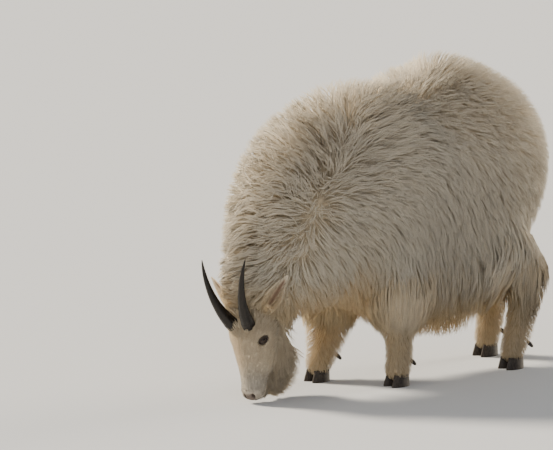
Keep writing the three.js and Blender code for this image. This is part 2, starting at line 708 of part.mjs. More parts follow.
const box = new THREE.Box3();
for (const body of Object.values(bodies)) {
  const { min, max } = body.boundingBox();
  box.expandByPoint(new THREE.Vector3(...min)).expandByPoint(new THREE.Vector3(...max));
}
const toOrigin = box.getCenter(new THREE.Vector3()).setZ(box.min.z).negate();

const goat = new THREE.Group();
goat.name = 'mountain_goat';
for (const [name, body] of Object.entries(bodies)) {
  const { numProp, vertProperties, triVerts } = body.getMesh();
  let shape = { pos: [], tri: Array.from(triVerts) };
  for (let i = 0; i < vertProperties.length / numProp; i++) for (let k = 0; k < 3; k++) shape.pos.push(vertProperties[i * numProp + k]);
  for (let pass = 0; pass < 4; pass++) {
    const next = tidied(shape, 0.25);
    if (closed(next)) shape = next;
  }
  const geo = new THREE.BufferGeometry();
  geo.setAttribute('position', new THREE.BufferAttribute(new Float32Array(shape.pos), 3));
  geo.setIndex(shape.tri);
  geo.translate(toOrigin.x, toOrigin.y, toOrigin.z);
  geo.computeVertexNormals();
  const slot = lookOf(name);
  const material = new THREE.MeshStandardMaterial(LOOKS[slot]);
  material.name = slot;
  const mesh = new THREE.Mesh(geo, material);
  mesh.name = name;
  goat.add(mesh);
}

export default goat;
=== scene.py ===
# Mountain goat, a still museum model in full winter coat, head down to graze.
# Metres; the goat faces -Y, its left side is +X, the soles stand on z = 0.
import math
import bpy
import numpy as np
from mathutils import Matrix, Vector
from mathutils.kdtree import KDTree


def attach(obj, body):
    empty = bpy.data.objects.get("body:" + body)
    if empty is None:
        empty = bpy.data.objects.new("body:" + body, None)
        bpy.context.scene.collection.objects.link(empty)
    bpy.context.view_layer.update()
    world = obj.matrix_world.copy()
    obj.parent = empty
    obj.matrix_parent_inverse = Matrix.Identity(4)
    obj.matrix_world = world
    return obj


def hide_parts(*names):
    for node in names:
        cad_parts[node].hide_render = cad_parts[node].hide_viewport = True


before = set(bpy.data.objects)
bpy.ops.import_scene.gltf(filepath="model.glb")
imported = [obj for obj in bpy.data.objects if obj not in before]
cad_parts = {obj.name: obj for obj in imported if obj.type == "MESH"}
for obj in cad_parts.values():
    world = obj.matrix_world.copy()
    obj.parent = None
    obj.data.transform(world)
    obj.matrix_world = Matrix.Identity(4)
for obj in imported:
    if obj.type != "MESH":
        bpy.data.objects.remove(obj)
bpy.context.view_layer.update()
rng = np.random.default_rng(20)
SHIFT_Y = 0.248449          # the tables below are written before the origin was centred
LIFT = 0.006

# ------------------------------------------------------------------ head frame
def unit(v):
    v = np.asarray(v, float)
    return v / np.linalg.norm(v)

NOSE = unit((0.165, -0.18, -0.970))
BROW = np.array((0.16, -0.964, 0.207))
BROW = unit(BROW - (BROW @ NOSE) * NOSE)
LEFT = np.cross(BROW, NOSE)
HEAD_ORIGIN = np.array((0.040, -0.862 + SHIFT_Y, 0.207 + LIFT))


def hp(n, d, l=0.0):
    """A point of the head frame, in millimetres towards nose, brow and left."""
    return HEAD_ORIGIN + (n * NOSE + d * BROW + l * LEFT) / 1000.0


def to_head(P):
    q = (P - HEAD_ORIGIN) * 1000.0
    return q @ NOSE, q @ BROW, q @ LEFT


# ------------------------------------------------------------------ body sections
# centre, reach (up or forward, down or back, side), coat depth in the same three directions
def body(x, y, z):
    return (x / 1000.0, y / 1000.0 + SHIFT_Y, z / 1000.0 + LIFT)


TRUNK = [
    (body(0, -490, 690), (235, 280, 170), (112, 90, 60)),
    (body(0, -400, 690), (336, 380, 235), (138, 120, 65)),
    (body(0, -280, 680), (340, 470, 262), (122, 170, 58)),
    (body(0, -175, 680), (296, 545, 268), (74, 210, 56)),
    (body(0, -110, 686), (300, 565, 267), (62, 219, 54)),
    (body(0, -58, 694), (389, 583, 266), (122, 228, 52)),
    (body(0, 30, 705), (384, 585, 262), (112, 226, 48)),
    (body(0, 130, 705), (332, 540, 255), (80, 190, 46)),
    (body(0, 225, 695), (278, 378, 232), (66, 112, 46)),
    (body(0, 290, 695), (220, 236, 182), (56, 66, 44)),
]
NECK = [
    (body(0, -390, 690), (342, 330, 240), (150, 110, 70)),
    (body(0, -530, 620), (342, 350, 240), (160, 130, 78)),
    (body(8, -660, 510), (273, 285, 200), (136, 140, 72)),
    (body(18, -768, 400), (190, 210, 114), (104, 120, 38)),
    (hp(-95, -65), (103, 150, 82), (36, 70, 16)),
]
HEAD = [
    (hp(-110, -40), (60, 85, 70), (18, 30, 12)),
    (hp(-65, -35), (84, 125, 84), (18, 45, 12)),
    (hp(-15, -40), (82, 135, 84), (7, 50, 9)),
    (hp(40, -45), (70, 120, 68), (5, 50, 7)),
    (hp(98, -47), (55, 80, 50), (4, 32, 5)),
    (hp(146, -47), (45, 50, 42), (3, 8, 3)),
    (hp(170, -48), (37, 38, 37), (2.5, 3, 2.5)),
]
BEARD = [
    (hp(-10, -190), (105, 104, 62), (80, 80, 45)),
    (hp(50, -188), (98, 96, 52), (75, 75, 40)),
    (hp(100, -176), (80, 80, 40), (60, 60, 30)),
    (hp(148, -160), (36, 40, 20), (25, 28, 14)),
]
LEGS = {
    "leg_front_left": [
        (body(120, -268, 46), (48, 47, 45), (14, 16, 14)),
        (body(120, -262, 95), (49, 51, 47), (16, 18, 16)),
        (body(121, -264, 160), (51, 54, 49), (20, 22, 20)),
        (body(123, -268, 215), (78, 82, 70), (40, 42, 36)),
        (body(128, -268, 320), (94, 98, 88), (36, 44, 40)),
        (body(132, -275, 450), (110, 115, 100), (44, 44, 44)),
        (body(130, -330, 620), (125, 150, 105), (45, 45, 45)),
    ],
    "leg_front_right": [
        (body(-120, -415, 46), (48, 47, 45), (14, 16, 14)),
        (body(-120, -396, 95), (58, 60, 52), (24, 26, 20)),
        (body(-122, -375, 160), (78, 80, 66), (44, 44, 34)),
        (body(-124, -360, 215), (94, 94, 78), (54, 54, 42)),
        (body(-128, -345, 320), (105, 110, 92), (46, 54, 44)),
        (body(-132, -330, 450), (115, 120, 100), (48, 50, 44)),
        (body(-130, -355, 620), (125, 150, 105), (45, 45, 45)),
    ],
    "leg_hind_left": [
        (body(120, 238, 46), (45, 44, 43), (13, 13, 13)),
        (body(120, 252, 95), (47, 55, 45), (15, 22, 15)),
        (body(121, 270, 165), (50, 66, 47), (18, 30, 18)),
        (body(123, 290, 240), (60, 78, 52), (22, 30, 20)),
        (body(125, 288, 310), (82, 80, 64), (28, 26, 24)),
        (body(132, 235, 400), (110, 66, 82), (42, 28, 32)),
        (body(130, 165, 500), (130, 74, 98), (50, 34, 40)),
        (body(110, 130, 660), (160, 140, 125), (50, 50, 45)),
    ],
    "leg_hind_right": [
        (body(-120, 330, 46), (45, 44, 43), (13, 13, 13)),
        (body(-120, 338, 95), (47, 55, 45), (15, 22, 15)),
        (body(-121, 348, 165), (50, 62, 47), (18, 26, 18)),
        (body(-123, 354, 240), (62, 64, 52), (22, 22, 20)),
        (body(-125, 332, 310), (85, 74, 64), (28, 22, 24)),
        (body(-132, 265, 400), (115, 86, 84), (42, 32, 32)),
        (body(-130, 185, 500), (135, 98, 100), (50, 40, 40)),
        (body(-110, 140, 660), (160, 145, 125), (50, 50, 45)),
    ],
}
TAIL = [
    (body(0, 385, 815), (46, 46, 50), (26, 26, 34)),
    (body(0, 446, 752), (34, 36, 46), (22, 24, 34)),
    (body(0, 458, 700), (20, 22, 30), (14, 16, 22)),
]


def catmull(K, sub):
    K = np.asarray(K, float)
    n = len(K)
    out = []
    for i in range(n - 1):
        p1, p2 = K[i], K[i + 1]
        p0 = K[i - 1] if i > 0 else 2 * p1 - p2
        p3 = K[i + 2] if i < n - 2 else 2 * p2 - p1
        for j in range(sub):
            t = j / sub
            out.append(0.5 * (2 * p1 + (p2 - p0) * t + (2 * p0 - 5 * p1 + 4 * p2 - p3) * t * t
                              + (3 * p1 - p0 - 3 * p2 + p3) * t ** 3))
    out.append(K[-1])
    return np.array(out)


def chain(sections, hint, blend, skin, sub=6):
    rows = []
    for c, r, d in sections:
        r = np.array(r, float) / 1000.0
        d = np.array(d, float) / 1000.0
        rows.append(list(c) + list(np.maximum(r - d, 0.004) if skin else r))
    K = catmull(rows, sub)
    C, R = K[:, :3], K[:, 3:]
    lo = (C - R.max(1)[:, None]).min(0) - 0.10
    hi = (C + R.max(1)[:, None]).max(0) + 0.10
    return dict(C=C, R=R, hint=unit(hint), blend=blend, lo=lo, hi=hi)


def chain_value(ch, P):
    """Signed value, negative inside; points far from the chain keep 0.1."""
    out = np.full(len(P), 0.1, np.float32)
    sel = np.all((P > ch["lo"]) & (P < ch["hi"]), axis=1)
    if not sel.any():
        return out
    Q = P[sel]
    best = np.full(len(Q), 0.1, np.float32)
    C, R, hint = ch["C"], ch["R"], ch["hint"]
    for i in range(len(C) - 1):
        A, B = C[i], C[i + 1]
        ln = np.linalg.norm(B - A)
        T = (B - A) / ln
        U = unit(hint - (hint @ T) * T)
        S = np.cross(T, U)
        M = np.stack([T, U, S], 1).astype(np.float32)
        rel = (Q - A.astype(np.float32)) @ M
        t = np.clip(rel[:, 0] / ln, 0, 1)
        r0, r1 = R[i], R[i + 1]
        ru = (r0[0] + (r1[0] - r0[0]) * t)
        rd = (r0[1] + (r1[1] - r0[1]) * t)
        rs = (r0[2] + (r1[2] - r0[2]) * t)
        rv = np.where(rel[:, 1] > 0, ru, rd)
        ra = np.minimum(np.minimum(ru, rd), rs) * 0.8
        a, b, c = rel[:, 1] / rv, rel[:, 2] / rs, (rel[:, 0] - t * ln) / ra
        k0 = np.sqrt(a * a + b * b + c * c) + 1e-9
        k1 = np.sqrt((a / rv) ** 2 + (b / rs) ** 2 + (c / ra) ** 2) + 1e-9
        np.minimum(best, k0 * (k0 - 1) / k1, out=best)
    out[sel] = best
    return out


def smin(a, b, k):
    if k <= 0:
        return np.minimum(a, b)
    h = np.clip(0.5 + 0.5 * (b - a) / k, 0, 1)
    return b + (a - b) * h - k * h * (1 - h)


def smax(a, b, k):
    return -smin(-a, -b, k)


def smooth(a, b, x):
    t = np.clip((x - a) / (b - a), 0, 1)
    return t * t * (3 - 2 * t)


AHEAD = (0, -1, 0)


def make_chains(skin):
    out = [chain(TRUNK, (0, 0, 1), 0, skin), chain(NECK, (0, -0.6, 0.8), 0.06 if skin else 0.08, skin),
           chain(HEAD, BROW, 0.025 if skin else 0.03, skin, 8)]
    if not skin:
        out.append(chain(BEARD, BROW, 0.03, skin))
    for k, v in LEGS.items():
        out.append(chain(v, AHEAD, 0.03 if "hind" in k else 0.04, skin))
    out.append(chain(TAIL, (0, 1, 0.2), 0.015, skin))
    return out


SKIN_CHAINS = make_chains(True)
COAT_CHAINS = make_chains(False)
EYE = {1: hp(-1, -15, 56), -1: hp(-1, -15, -56)}
EYE_R = 0.0165


def ball(P, c, r, squash=(1, 1, 1)):
    """Ellipsoid in the head frame; squash scales its reach towards nose, brow and left."""
    q = P - c
    a = q @ NOSE / (r * squash[0])
    b = q @ BROW / (r * squash[1])
    l = q @ LEFT / (r * squash[2])
    k0 = np.sqrt(a * a + b * b + l * l) + 1e-9
    return (k0 - 1) * r * min(squash)


def coat_field(P):
    f = np.full(len(P), 0.1, np.float32)
    for ch in COAT_CHAINS:
        f = smin(chain_value(ch, P), f, ch["blend"])
    for s in (1, -1):
        f = smax(f, -(np.linalg.norm(P - hp(0, -8, 105 * s), axis=1) - 0.036), 0.01)
    dip = np.hypot(P[:, 1] - (SHIFT_Y - 0.180) - 0.95 * (np.hypot(P[:, 0], 0.03) - 0.03), P[:, 2] - 1.183) - 0.152
    return np.where(P[:, 2] > 0.9, smax(f, -dip, 0.014), f)


def mouth_d(n, l):
    """Where the mouth closes, across the muzzle."""
    return -67 - 0.05 * (n - 150) + 3.0 * np.exp(-(l / 12.0) ** 2)


def skin_field(P):
    f = np.full(len(P), 0.1, np.float32)
    for ch in SKIN_CHAINS:
        f = smin(chain_value(ch, P), f, ch["blend"])
    near = np.linalg.norm(P - hp(60, -40), axis=1) < 0.24
    if near.any():
        Q = P[near]
        g = f[near]
        for s in (1, -1):
            g = smin(g, ball(Q, hp(-27, -2, 50 * s), 0.021, (1.1, 0.8, 0.9)), 0.02)     # brow over the eye
            g = smin(g, ball(Q, hp(0, -17, 51 * s), 0.0225), 0.010)                      # lids' mound
            g = smax(g, -ball(Q, EYE[s], 0.0172), 0.003)                                  # socket
            g = smax(g, -ball(Q, hp(25, -6, 66 * s), 0.012, (1.3, 0.8, 1)), 0.012)         # hollow before the eye
            g = smin(g, ball(Q, hp(46, -52, 44 * s), 0.024, (1.9, 0.8, 0.8)), 0.025)      # cheek ridge
            g = smin(g, ball(Q, hp(168, -36, 20 * s), 0.017, (1.2, 1, 0.9)), 0.012)       # nostril wing
            g = smax(g, -ball(Q, hp(182, -29, 17 * s), 0.0082, (1.0, 1.5, 0.72)), 0.003)  # nostril
            g = smax(g, -ball(Q, hp(175, -41, 27 * s), 0.0066, (0.9, 1.7, 0.7)), 0.003)   # its side slit
        g = smin(g, ball(Q, hp(160, -84), 0.019, (1.2, 0.75, 1.2)), 0.015)                # chin
        # the line of the mouth and the cleft of the upper lip, pressed in a little
        n, d, l = to_head(Q)
        line = 0.0026 - np.abs(d - mouth_d(n, l)) / 1000
        g = np.where(n > 108, np.maximum(g, np.minimum(line, g + 0.0055 * smooth(108, 126, n))), g)
        cleft = 0.0022 - np.abs(l) / 1000
        g = np.where((n > 168) & (d > -66) & (d < -40), np.maximum(g, np.minimum(cleft, g + 0.003)), g)
        f[near] = g
    return f


# ------------------------------------------------------------------ sampling grids
class Grid:
    def __init__(self, field, lo, hi, step):
        self.lo, self.step = np.array(lo), step
        self.n = np.ceil((np.array(hi) - self.lo) / step).astype(int) + 1
        ax = [self.lo[k] + step * np.arange(self.n[k]) for k in range(3)]
        P = np.stack(np.meshgrid(*ax, indexing="ij"), -1).reshape(-1, 3).astype(np.float32)
        self.f = field(P).reshape(self.n)
        self.g = np.stack(np.gradient(self.f, step), -1)

    def _w(self, P):
        q = (P - self.lo) / self.step
        q = np.clip(q, 0, self.n - 1.001)
        i = q.astype(int)
        return i, q - i

    def __call__(self, P, what="f"):
        A = self.f if what == "f" else self.g
        i, t = self._w(P)
        out = 0
        for a in (0, 1):
            for b in (0, 1):
                for c in (0, 1):
                    w = ((t[:, 0] if a else 1 - t[:, 0]) * (t[:, 1] if b else 1 - t[:, 1]) * (t[:, 2] if c else 1 - t[:, 2]))
                    v = A[i[:, 0] + a, i[:, 1] + b, i[:, 2] + c]
                    out = out + (v * w if what == "f" else v * w[:, None])
        return out

    def normal(self, P):
        g = self(P, "g")
        return g / (np.linalg.norm(g, axis=1)[:, None] + 1e-9)


LO = (-0.30, -0.75, -0.01)
HI = (0.30, 0.76, 1.11)
skin_grid = Grid(skin_field, LO, HI, 0.014)
coat_grid = Grid(coat_field, LO, HI, 0.014)


# ------------------------------------------------------------------ skin mesh
def graded(lo, hi, spans, coarse):
    """Coordinates from lo to hi; spans are (start, end, step) of finer stretches."""
    out = [lo]
    while out[-1] < hi:
        x = out[-1]
        step = coarse
        for a, b, s in spans:
            if a <= x < b:
                step = min(step, s)
            elif x < a and x + coarse > a:
                step = min(step, max(a - x, s))
        out.append(x + step)
    return np.array(out)


def surface_nets(xs, ys, zs, F):
    ins = F < 0
    nx, ny, nz = F.shape
    cnt = np.zeros((nx - 1, ny - 1, nz - 1), np.int8)
    for dx in (0, 1):
        for dy in (0, 1):
            for dz in (0, 1):
                cnt += ins[dx:nx - 1 + dx, dy:ny - 1 + dy, dz:nz - 1 + dz]
    act = (cnt > 0) & (cnt < 8)
    idx = np.full(act.shape, -1, np.int64)
    I, J, K = np.nonzero(act)
    idx[I, J, K] = np.arange(len(I))
    acc = np.zeros((len(I), 3))
    num = np.zeros(len(I))
    corners = [(a, b, c) for a in (0, 1) for b in (0, 1) for c in (0, 1)]
    for ci in range(8):
        for cj in range(ci + 1, 8):
            a, b = corners[ci], corners[cj]
            if sum(abs(a[k] - b[k]) for k in range(3)) != 1:
                continue
            fa = F[I + a[0], J + a[1], K + a[2]]
            fb = F[I + b[0], J + b[1], K + b[2]]
            cr = (fa < 0) != (fb < 0)
            t = np.where(cr, fa / np.where(cr, fa - fb, 1), 0)
            pa = np.stack([xs[I + a[0]], ys[J + a[1]], zs[K + a[2]]], 1)
            pb = np.stack([xs[I + b[0]], ys[J + b[1]], zs[K + b[2]]], 1)
            acc += np.where(cr[:, None], pa + (pb - pa) * t[:, None], 0)
            num += cr
    V = acc / num[:, None]
    quads = []
    n = [nx, ny, nz]
    for ax in range(3):
        s0 = [slice(0, nx), slice(0, ny), slice(0, nz)]
        s1 = list(s0)
        s0[ax], s1[ax] = slice(0, n[ax] - 1), slice(1, n[ax])
        e = list(np.nonzero(ins[tuple(s0)] != ins[tuple(s1)]))
        o = [k for k in range(3) if k != ax]

        def cell(da, db):
            c = [q.copy() for q in e]
            c[o[0]] -= da
            c[o[1]] -= db
            return idx[c[0], c[1], c[2]]
        q = np.stack([cell(1, 1), cell(0, 1), cell(0, 0), cell(1, 0)], 1)
        a_in = ins[e[0], e[1], e[2]]
        flip = a_in if ax in (0, 2) else ~a_in
        quads.append(np.where(flip[:, None], q, q[:, ::-1]))
    return V, np.concatenate(quads)


def relax(V, Q, rounds, amount=0.5):
    E = np.concatenate([Q[:, [0, 1]], Q[:, [1, 2]], Q[:, [2, 3]], Q[:, [3, 0]]])
    E = np.unique(np.sort(E, 1), axis=0)
    deg = np.bincount(E.ravel(), minlength=len(V)).astype(float)
    for _ in range(rounds):
        s = np.zeros_like(V)
        for k in range(3):
            s[:, k] = np.bincount(E[:, 0], V[E[:, 1], k], len(V)) + np.bincount(E[:, 1], V[E[:, 0], k], len(V))
        V = V * (1 - amount) + amount * s / deg[:, None]
    return V


def make_skin():
    y0 = SHIFT_Y
    xs = graded(-0.285, 0.285, [(-0.06, 0.125, 0.0032)], 0.0085)
    ys = graded(-0.975 + y0, 0.50 + y0, [(-0.965 + y0, -0.80 + y0, 0.0032), (-0.80 + y0, -0.68 + y0, 0.005)], 0.0095)
    zs = graded(0.005, 1.06, [(0.005, 0.27, 0.0034), (0.27, 0.40, 0.006)], 0.0095)
    shape = (len(xs), len(ys), len(zs))
    P = np.stack(np.meshgrid(xs, ys, zs, indexing="ij"), -1).reshape(-1, 3).astype(np.float32)
    F = skin_grid(P).astype(np.float32)
    band = np.abs(F) < 0.022
    for a in range(0, int(band.sum()), 400000):
        ids = np.nonzero(band)[0][a:a + 400000]
        F[ids] = skin_field(P[ids])
    V, Q = surface_nets(xs, ys, zs, F.reshape(shape))
    Q = Q[(Q >= 0).all(1)]
    V = relax(V, Q, 2)
    return V, Q


# ------------------------------------------------------------------ small helpers
def norm_rows(v):
    return v / (np.linalg.norm(v, axis=-1, keepdims=True) + 1e-9)


class Noise:
    """Smooth random values in space; size is the length of one cell."""
    def __init__(self, seed):
        self.t = np.random.default_rng(seed).random((64, 64, 64)).astype(np.float32)

    def __call__(self, P, size):
        q = np.asarray(P) / size + 1000.0
        i = np.floor(q).astype(int)
        f = q - i
        f = f * f * (3 - 2 * f)
        out = 0
        for a in (0, 1):
            for b in (0, 1):
                for c in (0, 1):
                    w = ((f[:, 0] if a else 1 - f[:, 0]) * (f[:, 1] if b else 1 - f[:, 1]) * (f[:, 2] if c else 1 - f[:, 2]))
                    out = out + w * self.t[(i[:, 0] + a) % 64, (i[:, 1] + b) % 64, (i[:, 2] + c) % 64]
        return out


noise_a, noise_b, noise_c = Noise(1), Noise(2), Noise(3)


def make_mesh(name, V, quads=None, tris=None, colour=None, uv=None):
    """uv is per vertex; colour is per vertex, rgb."""
    me = bpy.data.meshes.new(name)
    V = np.asarray(V, np.float32)
    parts, starts, pos = [], [], 0
    for arr, k in ((quads, 4), (tris, 3)):
        if arr is not None and len(arr):
            arr = np.asarray(arr, np.int32)
            parts.append(arr.ravel())
            starts.append(pos + k * np.arange(len(arr), dtype=np.int32))
            pos += arr.size
    loops = np.concatenate(parts)
    starts = np.concatenate(starts)
    me.vertices.add(len(V))
    me.vertices.foreach_set("co", V.ravel())
    me.loops.add(len(loops))
    me.loops.foreach_set("vertex_index", loops)
    me.polygons.add(len(starts))
    me.polygons.foreach_set("loop_start", starts)
    me.update(calc_edges=True)
    me.polygons.foreach_set("use_smooth", np.ones(len(starts), bool))
    if colour is not None:
        at = me.attributes.new("Coat", "FLOAT_COLOR", "POINT")
        rgba = np.ones((len(V), 4), np.float32)
        rgba[:, :3] = colour
        at.data.foreach_set("color", rgba.ravel())
    if uv is not None:
        lay = me.uv_layers.new(name="OFBake")
        lay.data.foreach_set("uv", np.asarray(uv, np.float32)[loops].ravel())
    ob = bpy.data.objects.new(name, me)
    bpy.context.scene.collection.objects.link(ob)
    return ob


def loft(rings, closed_ends=True):
    """rings: (m, k, 3) loops; returns vertices, quads and end triangles, facing outwards for anticlockwise loops seen from the far end."""
    R = np.asarray(rings, float)
    m, k = R.shape[:2]
    V = R.reshape(-1, 3)
    i = np.arange(m - 1)[:, None] * k
    j = np.arange(k)[None]
    j2 = (j + 1) % k
    quads = np.stack([i + j, i + j2, i + k + j2, i + k + j], -1).reshape(-1, 4)
    tris = []
    if closed_ends:
        V = np.concatenate([V, R[0].mean(0)[None], R[-1].mean(0)[None]])
        a, b = m * k, m * k + 1
        jj = np.arange(k)
        tris.append(np.stack([np.full(k, a), (jj + 1) % k, jj], 1))
        tris.append(np.stack([np.full(k, b), (m - 1) * k + jj, (m - 1) * k + (jj + 1) % k], 1))
        tris = np.concatenate(tris)
    return V, quads, tris


def table(rows, t):
    rows = np.asarray(rows, float)
    return np.interp(t, rows[:, 0], rows[:, 1])


# ------------------------------------------------------------------ horns and ears as lines
HORN_RADIUS = [[0, 23], [0.12, 20.5], [0.3, 15.8], [0.55, 11], [0.8, 6.6], [0.95, 3], [1, 1.2]]
HORN_LENGTH, HORN_DIVERGENCE = 236.0, 0.244
EAR_WIDTH_AT = [[0, 0.6], [0.12, 0.82], [0.3, 1], [0.45, 0.95], [0.65, 0.72], [0.85, 0.38], [0.95, 0.18], [1, 0.07]]
EAR_LENGTH, EAR_WIDTH = 149.0, 64.0


def horn_line(side, count):
    """Points, directions and t of a horn's core, from 22 mm below its base to the tip."""
    p = hp(-59, 43, 37 * side)
    def way(t):
        th = 0.669 + 0.98 * t
        return BROW * math.cos(th) * math.cos(HORN_DIVERGENCE) - NOSE * math.sin(th) * math.cos(HORN_DIVERGENCE) \
            + LEFT * side * math.sin(HORN_DIVERGENCE)
    total = HORN_LENGTH + 22
    p = p - way(0) * 0.022
    rows = []
    for i in range(count + 1):
        t = max(0.0, (i / count * total - 22) / HORN_LENGTH)
        rows.append((p.copy(), way(t), t, i / count * total - 22))
        p = p + way(t) * total / count / 1000
    return rows


def ear_frame(side):
    root = hp(-103, -10, 72 * side)
    along = unit(LEFT * 0.667 * side - NOSE * 0.739 + BROW * 0.097)
    opening = LEFT * 0.45 * side + BROW * 0.85 + NOSE * 0.2
    opening = unit(opening - (opening @ along) * along)
    wide = np.cross(along, opening)
    return root, along, opening, unit(wide)


KEEP_OUT = []
for s_ in (1, -1):
    for c_, d_, t_, h_ in horn_line(s_, 14):
        KEEP_OUT.append((c_, float(table(HORN_RADIUS, t_)) / 1000 + 0.003))
    root_, along_, open_, wide_ = ear_frame(s_)
    for t_ in np.linspace(0.18, 0.95, 8):
        w_ = EAR_WIDTH / 2 * float(table(EAR_WIDTH_AT, t_))
        c_ = root_ + (along_ * (-16 + (EAR_LENGTH + 16) * t_) - open_ * (10 * t_ * t_ + 4)) / 1000
        KEEP_OUT.append((c_ + open_ * 0.006, w_ * 0.95 / 1000))
    KEEP_OUT.append((EYE[s_], 0.0185))
KEEP_C = np.array([k[0] for k in KEEP_OUT])
KEEP_R = np.array([k[1] for k in KEEP_OUT])


def keep_out(P):
    near = (P[:, 1] < -0.34) & (P[:, 2] < 0.52)
    if not near.any():
        return P
    Q = P[near]
    for c, r in zip(KEEP_C, KEEP_R):
        v = Q - c
        d = np.linalg.norm(v, axis=1)
        push = np.clip(r - d, 0, None)
        Q = Q + v / (d[:, None] + 1e-9) * push[:, None]
    P = P.copy()
    P[near] = Q
    return P


# ------------------------------------------------------------------ lie of the coat
# place, direction, reach; x > 0 rows stand for both sides
def wp(x, y, z):
    return np.array((x, y + SHIFT_Y, z + LIFT))


FLOW = [
    # crest of the neck, outwards
    (wp(0.00, -0.50, 0.95), (0, -0.5, 0.6)), (wp(0.10, -0.52, 0.90), (0.3, -0.6, 0.7)), (wp(0.12, -0.62, 0.78), (0.25, -0.8, 0.55)),
    (wp(0.12, -0.70, 0.64), (0.25, -0.95, 0.3)), (wp(0.09, -0.78, 0.52), (0.2, -1.0, 0.1)), (wp(0.05, -0.83, 0.42), (0.2, -1.0, 0.0)),
    # side of the neck, back and down
    (wp(0.22, -0.54, 0.72), (0.1, 0.9, -0.05)), (wp(0.21, -0.60, 0.58), (0.1, 0.8, -0.45)), (wp(0.17, -0.66, 0.45), (0, 0.6, -0.75)),
    (wp(0.21, -0.48, 0.56), (0, 0.75, -0.6)), (wp(0.13, -0.60, 0.36), (0, 0.5, -0.85)), (wp(0.10, -0.70, 0.34), (0, 0.45, -0.85)),
    (wp(0.00, -0.56, 0.30), (0, 0.3, -1)), (wp(0.00, -0.66, 0.28), (0, 0.35, -1)), (wp(0.12, -0.46, 0.38), (0, 0.3, -1)),
    # shoulder: back, then curving down
    (wp(0.24, -0.43, 0.84), (0.1, 0.95, 0.1)), (wp(0.26, -0.40, 0.71), (0, 1, -0.12)), (wp(0.25, -0.30, 0.86), (0, 0.95, -0.12)),
    (wp(0.27, -0.30, 0.70), (0, 0.8, -0.5)), (wp(0.26, -0.36, 0.57), (0, 0.45, -0.9)), (wp(0.27, -0.20, 0.77), (0, 0.6, -0.8)),
    (wp(0.27, -0.16, 0.62), (0, 0.05, -1)), (wp(0.25, -0.30, 0.42), (0, 0.12, -1)), (wp(0.25, -0.12, 0.42), (0, -0.05, -1)),
    # flank and rump
    (wp(0.26, -0.05, 0.86), (0, 0.65, -0.7)), (wp(0.27, 0.00, 0.62), (0, 0.12, -1)), (wp(0.26, 0.00, 0.42), (0, 0.10, -1)),
    (wp(0.26, 0.12, 0.82), (0, 0.45, -0.85)), (wp(0.26, 0.14, 0.58), (0, 0.12, -1)), (wp(0.22, 0.28, 0.80), (0, 0.35, -0.9)),
    (wp(0.20, 0.30, 0.55), (0, 0.15, -1)), (wp(0.16, 0.38, 0.62), (0, 0.15, -1)),
    # back line
    (wp(0.00, -0.40, 1.00), (0, 0.05, 0.3)), (wp(0.12, -0.38, 0.97), (0.7, 0.35, 0)), (wp(0.00, -0.28, 1.00), (0, 0.7, 0)),
    (wp(0.12, -0.24, 0.97), (0.6, 0.7, -0.3)), (wp(0.00, -0.12, 1.01), (0, 0.5, 0.2)), (wp(0.12, -0.10, 0.98), (0.6, 0.35, -0.5)),
    (wp(0.00, 0.00, 1.07), (0, 0.25, 0.1)), (wp(0.14, 0.02, 0.98), (0.55, 0.35, -0.7)), (wp(0.00, 0.12, 1.04), (0, 0.9, -0.1)),
    (wp(0.14, 0.14, 0.95), (0.4, 0.5, -0.8)), (wp(0.00, 0.26, 0.94), (0, 0.7, -0.6)), (wp(0.00, 0.36, 0.82), (0, 0.35, -0.9)),
    (wp(0.00, 0.42, 0.60), (0, 0.15, -1)), (wp(0.00, 0.40, 0.45), (0, 0.1, -1)),
    # underside and legs
    (wp(0.00, -0.30, 0.36), (0, 0.05, -1)), (wp(0.00, -0.10, 0.34), (0, 0.0, -1)), (wp(0.00, 0.10, 0.38), (0, 0.0, -1)),
    (wp(0.12, -0.33, 0.30), (0, 0.02, -1)), (wp(0.12, -0.33, 0.12), (0, 0.05, -1)), (wp(0.12, 0.28, 0.35), (0, 0.1, -1)),
    (wp(0.12, 0.30, 0.12), (0, 0.05, -1)), (wp(0.00, 0.455, 0.72), (0, 0.1, -1)), (wp(0.12, 0.20, 0.50), (0, 0.1, -1)),
]


def both_sides(rows):
    P, D = [], []
    for p, d in rows:
        P.append(p)
        D.append(d)
        if abs(p[0]) > 1e-6:
            P.append(p * (-1, 1, 1))
            D.append((-d[0],) + tuple(d[1:]))
    return np.array(P, np.float32), np.array(D, np.float32)


FLOW_P, FLOW_D = both_sides(FLOW)
